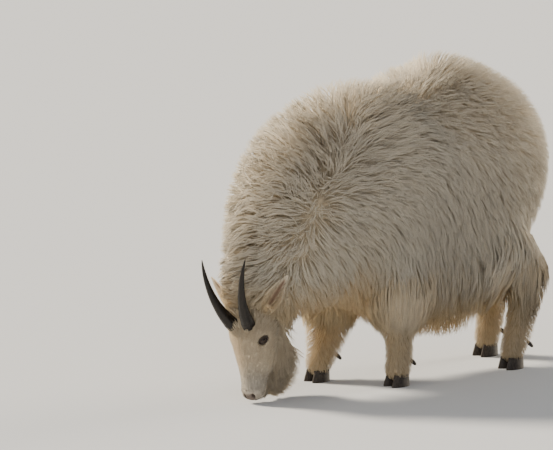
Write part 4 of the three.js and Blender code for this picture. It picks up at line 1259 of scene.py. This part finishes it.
def build_eye(side, word):
    g, e1, e2 = eye_frame(side)
    rings, cols = [], []
    n, m = 40, 48
    for i in range(n + 1):
        al = math.pi * (0.004 + 0.992 * i / n)
        r = EYE_R * 1000 - 0.1
        r += 0.9 * math.exp(-(al / 0.42) ** 4)          # cornea
        loop = []
        for k in range(m):
            a = 2 * math.pi * k / m
            loop.append(EYE[side] + (g * math.cos(al) + (e1 * math.cos(a) + e2 * math.sin(a)) * math.sin(al)) * r / 1000)
        rings.append(loop)
    V, quads, tris = loft(rings)
    q = V - EYE[side]
    quads = normals_out(V, quads, q[quads].mean(1))
    tris = normals_out(V, tris, q[tris].mean(1))
    x, y, z = q @ e1 * 1000, q @ e2 * 1000, q @ g * 1000
    rad = np.hypot(x, y)
    front = z > 0
    col = np.repeat(np.array((0.035, 0.022, 0.016))[None], len(V), 0)
    iris = smooth(9.6, 8.2, rad) * front
    streak = 0.75 + 0.5 * noise_c(np.stack([np.arctan2(y, x) * 9, rad * 0.25, rad * 0], 1), 1.0)
    amber = np.array((0.034, 0.018, 0.010))[None] * streak[:, None]
    col = col * (1 - iris)[:, None] + amber * iris[:, None]
    pupil = smooth(1.15, 0.85, np.sqrt((x / 5.6) ** 2 + (y / 2.2) ** 2)) * front
    col = col * (1 - pupil)[:, None] + np.array((0.004, 0.004, 0.005)) * pupil[:, None]
    ob = make_mesh("eye_" + word + "_ball", V, quads, tris, col)
    ob.data.materials.append(eye_mat)
    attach(ob, "root")
    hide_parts("eye_" + word)
    return ob


def build_claw(foot, side, word):
    width, length, cleft = 34.0, 80.0, 5.0
    levels = [(0, -1.2, -1.2, -1.2), (1.2, -0.2, -0.2, -0.2), (3, 0, 0, 0), (16, -1.5, -4, 0), (30, -3, -9, 0), (39.6, -3.6, -12, -1)]
    zs = [0, 0.5, 1.2, 2.2, 3] + list(np.linspace(4.2, 38.6, 26)) + [39.6]
    lv = np.array(levels, float)
    rings = []
    ca, sa = math.cos(side * 0.05), math.sin(side * 0.05)
    for z in zs:
        grow, toe, heel = (float(np.interp(z, lv[:, 0], lv[:, i])) for i in (1, 2, 3))
        rip = -0.28 * max(0.0, math.sin(z * 2 * math.pi / 5.2)) * (1 if 5 < z < 37 else 0)
        grow, toe = grow + rip, toe + rip
        loop = []
        for k in range(32):
            a = 2 * math.pi * k / 32
            x, y = math.cos(a), math.sin(a)
            x = x * (width / 2 + grow) if x > 0 else x * (width / 2 - 1 + grow * 0.3)
            y = y * (length / 2 + toe) if y < 0 else y * (length / 2 + heel) * 0.92
            if y < 0:
                x *= 1 - 0.28 * (y / length) ** 2 * 4
            X, Y = x * side + side * (width + cleft) / 2, y - 6
            loop.append((foot[0] + (X * ca - Y * sa) / 1000, foot[1] + 0.002 + (X * sa + Y * ca) / 1000, z / 1000))
        rings.append(loop)
    return solid_from_rings(word + "_horny", rings, hoof_material, word)


def build_dewclaw(p, side, word):
    d = unit((0.25 * side, 0.62, -0.74))
    u = np.array((1.0, 0, 0))
    u = unit(u - d[0] * d)
    v = np.cross(d, u)
    rings = []
    for t in np.linspace(0, 1, 18):
        r = float(np.interp(t, [0, 0.4, 0.8, 0.93, 1], [7.4, 8.8, 6.8, 4.4, 1.6])) - 0.3 * max(0, math.sin(t * 30))
        rings.append([p + (d * 26 * t + u * r * math.cos(a) + v * 0.8 * r * math.sin(a)) / 1000
                      for a in np.linspace(0, 2 * math.pi, 24, endpoint=False)])
    return solid_from_rings(word + "_horny", rings, hoof_material, word)


DEW = []
for side, word in ((1, "left"), (-1, "right")):
    build_horn(side, word)
    build_eye(side, word)
for leg, rows in LEGS.items():
    foot, heel = np.array(rows[0][0]), np.array(rows[1][0])
    out = 1 if foot[0] > 0 else -1
    for where, s in (("outer", out), ("inner", -out)):
        build_claw(foot, s, "hoof_%s_%s" % (leg[4:], where))
        p = np.array((heel[0] + s * 0.017, heel[1] + rows[1][1][1] / 1000 - 0.013, 0.086))
        DEW.append(p + unit((0.25 * s, 0.62, -0.74)) * 0.010)
        build_dewclaw(p, s, "dewclaw_%s_%s" % (leg[4:], where))

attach(skin, "root")
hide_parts("trunk", "neck", "head", "beard", "tail", "ear_left", "ear_right",
            "leg_front_left", "leg_front_right", "leg_hind_left", "leg_hind_right")


# ------------------------------------------------------------------ the coat
def coat_piece(ob):
    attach(ob, "root")
    return ob


def open_places(c):
    """False where hair doesn't grow: eyes, horn roots, nostrils, soles, dewclaws."""
    ok = np.ones(len(c), bool)
    for s in (1, -1):
        g, e1, e2 = eye_frame(s)
        q = (c - EYE[s]) * 1000
        ok &= ~(((q @ e1 / 20.5) ** 2 + (q @ e2 / 13.0) ** 2 < 1) & (q @ g > 0) & (q @ g < 30))
        for p, d, t, along in horn_line(s, 12)[:3]:
            ok &= np.linalg.norm(c - p, axis=1) > 0.0215
        ok &= np.linalg.norm(c - hp(180, -34, 20 * s), axis=1) > 0.012
    n, d, l = to_head(c)
    ok &= ~((n > 112) & (n < 215) & (np.abs(d - mouth_d(n, l)) < 3.6))
    ok &= ~((n > 176) & (d > -60) & (d < -14) & (np.abs(l) < 14))
    for s in (1, -1):
        root, along, opening, wide = ear_frame(s)
        ok &= np.linalg.norm(c - root - along * 0.012 - opening * 0.006, axis=1) > 0.019
    for p in DEW:
        ok &= np.linalg.norm(c - p, axis=1) > 0.012
    return ok & (c[:, 2] > 0.030)


free_tri = open_places(tri_c)
tri_head = head_weight(tri_c)
tri_n, tri_d, _ = to_head(tri_c)
body_mask = on_island["body"] & free_tri & (tri_head < 0.5)
face_mask = on_island["body"] & free_tri & (tri_head >= 0.5)
jaw_mask = face_mask & (tri_d < -74) & (tri_n < 158)
face_mask &= ~jaw_mask
L_tri = rbf(tri_c, LEN_P, LEN_V, 0.075)[:, 0]


def width_for(L):
    return np.interp(L, [8, 20, 35, 60, 100, 150], [1.0, 1.5, 2.1, 2.8, 3.5, 4.0]) / 1000


def reach_out(lines, share, past=0.0):
    """Bends lines so that their tips come out to the coat's outline, and past it by a little."""
    m = lines.shape[1]
    for turn in range(2):
        e = np.clip(-coat_f(lines[:, -1]) + past, 0, 0.12) * (share if turn else 0.7)
        up = coat_n(lines.reshape(-1, 3)).reshape(lines.shape)
        lines = lines + up * (e[:, None] * np.linspace(0, 1, m)[None] ** 1.1)[..., None]
    return lines


def over_ear(lines):
    """True for lines that cross the open side of an ear."""
    hit = np.zeros(len(lines), bool)
    for s in (1, -1):
        root, along, opening, wide = ear_frame(s)
        for k in range(1, lines.shape[1]):
            for f in (0.0, 0.5):
                q = lines[:, k] * (1 - f) + lines[:, k - 1] * f - root
                t = q @ along * 1000 / EAR_LENGTH
                w = EAR_WIDTH / 2 * table(EAR_WIDTH_AT, np.clip(t, 0, 1)) * 0.9
                out = q @ opening * 1000
                hit |= (t > 0.07) & (t < 1.0) & (np.abs(q @ wide * 1000) < w) & (out > -4) & (out < (34 if s > 0 else 12))
    return hit


def body_coat():
    dens = np.interp(L_tri, [20, 35, 60, 90, 130], [7.6e4, 4.7e4, 2.9e4, 2.28e4, 2.0e4])
    for s in (1, -1):
        dens = dens * (1 + 0.5 * blob(tri_c, wp(0.25 * s, 0.14, 0.42), (0.10, 0.10, 0.13)))
        dens = dens * (1 + 0.45 * blob(tri_c, hp(-135, 10, 35 * s), (0.09, 0.09, 0.09)))
    dens = dens * 1.0
    P, N, UV = scatter(body_mask, dens, 11)
    L = rbf(P, LEN_P, LEN_V, 0.075)[:, 0]
    for s in (1, -1):
        L = L * (1 - 0.62 * blob(P, hp(-104, -14, 70 * s), (0.060, 0.060, 0.060)))
    r = np.random.default_rng(12)
    d = -coat_f(P) * 1000
    L = L * r.uniform(0.82, 1.08, len(P))
    L = np.maximum(L, np.minimum(d * 1.2, L * 2.0 + 40) * r.uniform(0.85, 1.05, len(P)))
    rise = np.arcsin(np.clip((d - 3) / L, 0.10, 0.97))
    z = P[:, 2]
    y = P[:, 1] - SHIFT_Y
    droop = 0.45 * smooth(0.75, 0.35, z)
    out = []
    groups = (("short", L < 40, 3), ("middle", (L >= 40) & (L < 88), 3), ("long", L >= 88, 4))
    for key, sel, steps in groups:
        p, n, uv, l, ri, dr = P[sel], N[sel], UV[sel], L[sel] / 1000, rise[sel], droop[sel]
        lines = sweep(p, n, l, ri, steps, dr, stay=0.003, stray=0.42)
        long_ = smooth(0.03, 0.09, l)
        yy, zz = p[:, 1] - SHIFT_Y, p[:, 2]
        crest = smooth(0.75, 1.2, ri)
        pull = 0.34 + 0.22 * long_ - 0.12 * crest
        lines = reach_out(lines, r.uniform(0.75, 1.0, len(p)))
        wavy = (0.0045 * blob(p, wp(0.26, -0.32, 0.72), (0.30, 0.22, 0.22)) + 0.0045 * blob(p, wp(-0.26, -0.32, 0.72), (0.30, 0.22, 0.22))
                + 0.0018) * long_ * (1 - 0.7 * crest)
        lines, g = gather(lines, p, 6.5, pull, 21 + steps, spread=0.0034, wave=wavy, waves=3.2)
        past = 0.012 * smooth(0.55, 1.1, ri) * r.uniform(0, 1, len(p))
        lines = reach_out(lines, r.uniform(0.3, 1.0, len(p)) ** 0.5, past)
        over = np.clip(coat_f(lines.reshape(-1, 3)) - 0.014, 0, None).reshape(lines.shape[:2])
        lines = lines - coat_n(lines.reshape(-1, 3)).reshape(lines.shape) * over[..., None]
        lines = keep_out(lines.reshape(-1, 3)).reshape(lines.shape)
        low = np.clip(0.004 - lines[..., 2], 0, None)
        lines[..., 2] += low
        lock = r.random(len(p))[g]
        tone = 0.92 + 0.09 * lock + 0.06 * r.random(len(p))
        w = width_for(l * 1000) * r.uniform(0.7, 1.25, len(p))
        ok = ~over_ear(lines)
        out.append((key, lines[ok], uv[ok], w[ok], tone[ok], n[ok], p[ok]))
    return out


def deal(name, lines, uv, w, tone, n, which, limit=190000, **kw):
    """One object for each part of the body, none over the limit of triangles."""
    m = lines.shape[1]
    per = (m - 2) * 6 + 4
    for label in sorted(set(which)):
        ids = np.nonzero(which == label)[0]
        chunks = max(1, math.ceil(len(ids) * per / limit))
        for c in range(chunks):
            part = ids[c::chunks]
            extra = {k: (v[part] if isinstance(v, np.ndarray) else v) for k, v in kw.items()}
            tag = name + "_" + label + ("" if chunks == 1 else "_%d" % (c + 1))
            coat_piece(tufts(tag, lines[part], uv[part], w[part], tone[part], n[part], **extra))


def region(p):
    y, z = p[:, 1] - SHIFT_Y, p[:, 2] - LIFT
    side = np.where(p[:, 0] > 0, "left", "right")
    place = np.where(y < -0.50, "neck", np.where(y < -0.22, "shoulder", np.where(y < 0.06, "flank", "rump")))
    place = np.where((z < 0.33) & (y < 0.0) & (np.abs(p[:, 0]) > 0.04) & (y > -0.52), "forelegs", place)
    place = np.where((z < 0.40) & (y >= 0.12), "hindlegs", place)
    return np.array([a + "_" + b for a, b in zip(place, side)])


for key, lines, uv, w, tone, n, p in body_coat():
    deal("coat_" + key, lines, uv, w, tone, n, region(p))


def face_coat():
    r = np.random.default_rng(31)
    dens = np.interp(tri_n, [-120, -60, 20, 90, 160], [5.2e4, 7.4e4, 0.98e5, 1.12e5, 1.2e5]) * 1.0
    P, N, UV = scatter(face_mask, dens, 32)
    n, d, l = to_head(P)
    L = np.interp(n, [-120, -60, 0, 60, 120, 180], [30, 21, 13, 10, 8.5, 6.0])
    L = L + 46 * smooth(-34, -78, d) * smooth(150, 100, n)
    L = L + 24 * np.exp(-((n + 62) / 34) ** 2 - (l / 46) ** 4) * smooth(0, 18, d)
    for s in (1, -1):
        L = L * (1 - 0.45 * blob(P, EYE[s], (0.032, 0.032, 0.032)))
    L = L * r.uniform(0.8, 1.15, len(P)) / 1000
    depth = -coat_f(P)
    rise = np.arcsin(np.clip(depth * 0.8 / L, 0.12, 0.42))
    rise = np.where(d < -60, np.arcsin(np.clip(depth * 0.8 / L, 0.12, 0.8)), rise)
    crown = np.exp(-((n + 62) / 34) ** 2 - (l / 46) ** 4) * smooth(0, 18, d)
    horn = sum(blob(P, horn_line(k, 12)[1][0], (0.034, 0.034, 0.034)) for k in (1, -1))
    L = L + 0.024 * horn
    rise = rise + np.maximum(0.55 * crown, 0.75 * horn)
    lines = sweep(P, N, L, rise, 3, None, stay=0.0012, free=0.016 * crown, stray=0.25)
    lines, g = gather(lines, P, 5.0, np.full(len(P), 0.45), 33, spread=0.0006)
    pts = keep_out(lines.reshape(-1, 3)).reshape(lines.shape)
    lines[:, 1:] = pts[:, 1:]
    tone = 0.93 + 0.08 * r.random(len(P))[g] + 0.05 * r.random(len(P))
    w = np.interp(L * 1000, [6, 12, 25, 40], [0.95, 1.3, 1.9, 2.4]) / 1000 * r.uniform(0.8, 1.2, len(P))
    which = np.where(P @ LEFT > HEAD_ORIGIN @ LEFT, "left", "right")
    turn = np.linalg.norm(lines[:, 2:] - 2 * lines[:, 1:-1] + lines[:, :-2], axis=-1).max(1)
    ok = ~over_ear(lines) & ((coat_f(lines[:, -1]) < 0.008) | (L < 0.03)) & (turn < 0.5 * np.linalg.norm(lines[:, -1] - lines[:, 0], axis=1))
    deal("coat_face", lines[ok], UV[ok], w[ok], tone[ok], N[ok], which[ok], root_dark=0.86, tip_light=1.02)


def beard_coat():
    r = np.random.default_rng(41)
    P, N, UV = scatter(jaw_mask, np.full(nt, 1.0e5 * (1.0)), 42)
    n, d, l = to_head(P)
    L = np.interp(n, [-90, -40, 10, 70, 120, 158], [120, 165, 190, 175, 120, 50]) * r.uniform(0.72, 1.08, len(P)) / 1000
    L = L * (0.35 + 0.65 * smooth(-72, -84, d))
    depth = -coat_f(P)
    rise = np.arcsin(np.clip(depth / L, 0.15, 0.85))
    lines = sweep(P, N, L, rise, 4, np.full(len(P), 0.35), stay=0.002, free=0.003, stray=0.4)
    lines = reach_out(lines, r.uniform(0.35, 1.0, len(P)) * smooth(-72, -82, d))
    # the locks under the jaw stand away from it, to the beard's own edge
    goal = np.stack([hp(a, b, c) for a, b, c in zip(np.interp(n, [-90, -20, 60, 120, 158], [-20, 40, 105, 150, 172]) + r.uniform(-22, 22, len(P)),
                                                      np.interp(n, [-90, 0, 60, 110, 158], [-284, -288, -270, -226, -172]) + r.uniform(-14, 34, len(P)),
                                                      l * 0.35 + r.uniform(-14, 14, len(P)))])
    t = np.linspace(0, 1, lines.shape[1])
    want = smooth(-70, -92, d) * r.uniform(0.05, 1.0, len(P)) ** 0.55 * smooth(156, 116, n)
    pull_ = (want[:, None] * t[None] ** 1.3)[..., None]
    lines = lines + (goal - lines[:, -1])[:, None] * pull_
    lines[..., 2] -= (0.034 * want * r.uniform(0.2, 1.0, len(P)))[:, None] * t[None] ** 2
    out = np.clip(coat_f(lines.reshape(-1, 3)) - 0.009, 0, None).reshape(lines.shape[:2])
    lines = lines - coat_n(lines.reshape(-1, 3)).reshape(lines.shape) * out[..., None]
    lines, g = gather(lines, P, 9.0, np.full(len(P), 0.70), 43, spread=0.0028, wave=np.full(len(P), 0.005), waves=2.4)
    lines = keep_out(lines.reshape(-1, 3)).reshape(lines.shape)
    low = np.clip(0.006 - lines[..., 2], 0, None)
    lines[..., 2] += low
    tone = 0.94 + 0.10 * r.random(len(P))[g] + 0.05 * r.random(len(P))
    w = np.interp(L * 1000, [30, 80, 180], [1.4, 2.3, 3.2]) / 1000 * r.uniform(0.7, 1.2, len(P))
    turn = np.linalg.norm(lines[:, 2:] - 2 * lines[:, 1:-1] + lines[:, :-2], axis=-1).max(1)
    ok = (coat_f(lines.reshape(-1, 3)).reshape(lines.shape[:2]).max(1) < 0.020) & (turn < 0.30 * np.linalg.norm(lines[:, -1] - lines[:, 0], axis=1))
    deal("coat_beard", lines[ok], UV[ok], w[ok], tone[ok], N[ok], np.full(ok.sum(), "jaw"), root_dark=0.86)


def ear_coat(side, word):
    r = np.random.default_rng(51 + side)
    root, along, opening, wide = ear_frame(side)
    P, N, UV = scatter(on_island["ear_" + word], np.full(nt, 9.0e4 * (1.0)), 52)
    q = P - root
    t = q @ along * 1000 / EAR_LENGTH
    s = (q @ wide * 1000) / (EAR_WIDTH / 2 * table(EAR_WIDTH_AT, np.clip(t, 0, 1)))
    inner = (N @ opening) > 0.15
    bare = inner & (np.abs(s + 0.02) < 0.30) & (r.random(len(P)) < 0.82)
    keep = (t > 0.02) & ~bare
    P, N, UV, t, s, inner = P[keep], N[keep], UV[keep], t[keep], s[keep], inner[keep]
    L = np.where(inner, 15 - 6 * np.abs(s), 13 - 3 * t) * r.uniform(0.75, 1.2, len(P)) / 1000
    L = L * np.interp(t, [0, 0.8, 1], [1.3, 0.9, 0.55])
    dirn = along[None] + np.where(inner, np.sign(s) * 0.35, np.sign(s) * 0.12)[:, None] * wide[None] \
        + np.where(inner, 0.18, 0.0)[:, None] * opening[None]
    f = norm_rows(dirn - (dirn * N).sum(1)[:, None] * N)
    a = np.where(inner, 0.30, 0.20)[:, None]
    pts = [P]
    pos = P
    for k in range(3):
        d = norm_rows(f * np.cos(a * (1.4 - 0.5 * k)) + N * np.sin(a * (1.4 - 0.5 * k)))
        pos = pos + d * (L / 3)[:, None]
        pts.append(pos)
    lines = np.stack(pts, 1)
    lines, g = gather(lines, P, 4.0, np.full(len(P), 0.25), 54, spread=0.0004)
    tone = 0.94 + 0.07 * r.random(len(P))[g] + 0.05 * r.random(len(P))
    w = 0.0013 * r.uniform(0.8, 1.25, len(P))
    col = markings(P)
    warm = (inner * smooth(0.62, 0.2, np.abs(s + 0.04)) * 0.8 * smooth(0.95, 0.75, t))[:, None]
    col = col * (1 - warm) + np.array((0.30, 0.20, 0.13)) * warm
    coat_piece(tufts("coat_ear_" + word, lines, UV, w, tone, N, root_dark=0.88, col=col))


def fringe_coat():
    """Long locks that hang from the belly, the elbows and the thighs."""
    r = np.random.default_rng(61)
    x, y, z = tri_c[:, 0], tri_c[:, 1] - SHIFT_Y, tri_c[:, 2] - LIFT
    floor_ = np.interp(y, [-0.52, -0.44, -0.25, -0.18, 0.08, 0.20, 0.36], [0.27, 0.25, 0.24, 0.30, 0.33, 0.34, 0.33])
    want = smooth(0.0, 0.05, z - floor_) * smooth(0.20, 0.12, z - floor_) * (y > -0.52) * (y < 0.37)
    want = want * (1 + 0.9 * smooth(0.10, 0.18, y) * smooth(0.17, 0.10, np.abs(x)) + 0.6 * smooth(-0.22, -0.28, y))
    P, N, UV = scatter(body_mask & (want > 0.02), 2.2e4 * want * (1.0), 62)
    n = len(P)
    yy, zz = P[:, 1] - SHIFT_Y, P[:, 2] - LIFT
    goal = np.interp(yy, [-0.52, -0.42, -0.27, -0.20, 0.05, 0.20, 0.36], [0.200, 0.160, 0.150, 0.150, 0.150, 0.160, 0.180])
    L = np.clip((zz - goal) * 1.06, 0.05, 0.23) * r.uniform(0.72, 1.08, n)

    def way(Q):
        back = np.interp(Q[:, 1] - SHIFT_Y, [-0.4, 0.0, 0.3], [0.06, 0.02, 0.12])
        return np.stack([0 * back, back, -1 + 0 * back], 1)
    lines = sweep(P, N, L, 0.42 + 0.25 * smooth(0.06, 0.12, np.abs(P[:, 0])), 4, np.full(n, 0.9), stay=0.014, way=way, free=0.006, stray=0.30)
    lines, g = gather(lines, P, 8.0, np.full(n, 0.62), 63, spread=0.0030, wave=np.full(n, 0.006), waves=2.6)
    lines = keep_out(lines.reshape(-1, 3)).reshape(lines.shape)
    tone = 0.95 + 0.08 * r.random(n)[g] + 0.05 * r.random(n)
    w = np.interp(L * 1000, [50, 120, 220], [2.4, 3.4, 4.2]) / 1000 * r.uniform(0.7, 1.2, n)
    deal("coat_fringe", lines, UV, w, tone, N, np.where(P[:, 0] > 0, "left", "right"), root_dark=0.92)


fringe_coat()
face_coat()
beard_coat()
ear_coat(1, "left")
ear_coat(-1, "right")

# ------------------------------------------------------------------ floor, light, camera
def build_floor():
    k = np.linspace(-40, 40, 9)
    X, Y = np.meshgrid(k, k, indexing="ij")
    V = np.stack([X.ravel(), Y.ravel(), np.zeros(81)], 1)
    i = (np.arange(8)[:, None] * 9 + np.arange(8)[None]).ravel()
    ob = make_mesh("studio_floor", V, np.stack([i, i + 9, i + 10, i + 1], 1))
    m, nt, b, out = nodes_of("floor_pale")
    b.inputs["Base Color"].default_value = (0.56, 0.58, 0.61, 1)
    b.inputs["Roughness"].default_value = 0.9
    ob.data.materials.append(m)


build_floor()
world = bpy.data.worlds.new("studio")
bpy.context.scene.world = world
world.use_nodes = True
bg = world.node_tree.nodes["Background"]
bg.inputs["Color"].default_value = (0.90, 0.94, 1.0, 1)
bg.inputs["Strength"].default_value = 0.38


def soft_sun(name, towards, strength, colour, spread):
    data = bpy.data.lights.new(name, "SUN")
    data.angle = math.radians(spread)
    data.energy = strength
    data.color = colour
    ob = bpy.data.objects.new(name, data)
    bpy.context.scene.collection.objects.link(ob)
    ob.matrix_world = Matrix.Translation((0, 0, 3)) @ Vector(towards).to_track_quat("-Z", "Y").to_matrix().to_4x4()
    return ob


az, el, dist, scale_px = math.radians(50), math.radians(10), 60.0, 297.0
Rt = np.array((math.cos(az), math.sin(az), 0))
Up = np.array((-math.sin(az) * math.sin(el), math.cos(az) * math.sin(el), math.cos(el)))
Fw = np.array((-math.sin(az) * math.cos(el), math.cos(az) * math.cos(el), -math.sin(el)))
target = np.array((0, SHIFT_Y, 0)) + Rt * (276.5 - 435.2) / scale_px - Up * (225 - 371.3) / scale_px
high = np.array((0, 0, 1.0))
soft_sun("key_side", -(Fw * 0.34 - Rt * 0.80 + high * 0.72), 8.0, (1.0, 0.88, 0.70), 14)
soft_sun("rim_right", -(Fw * 0.62 + Rt * 0.80 + high * 0.30), 3.2, (1.0, 0.88, 0.70), 24)
soft_sun("fill_front", -(-Fw * 1.0 - Rt * 0.25 + high * 0.55), 0.62, (1.0, 0.97, 0.93), 60)

cam_data = bpy.data.cameras.new("camera")
cam_data.sensor_width = 36.0
cam_data.sensor_fit = "HORIZONTAL"
cam_data.lens = 36.0 * dist / (553.0 / scale_px)
cam_data.clip_end = 200
cam = bpy.data.objects.new("camera", cam_data)
bpy.context.scene.collection.objects.link(cam)
place = target - Fw * dist
cam.matrix_world = Matrix(((Rt[0], Up[0], -Fw[0], place[0]), (Rt[1], Up[1], -Fw[1], place[1]), (Rt[2], Up[2], -Fw[2], place[2]), (0, 0, 0, 1)))
bpy.context.scene.camera = cam
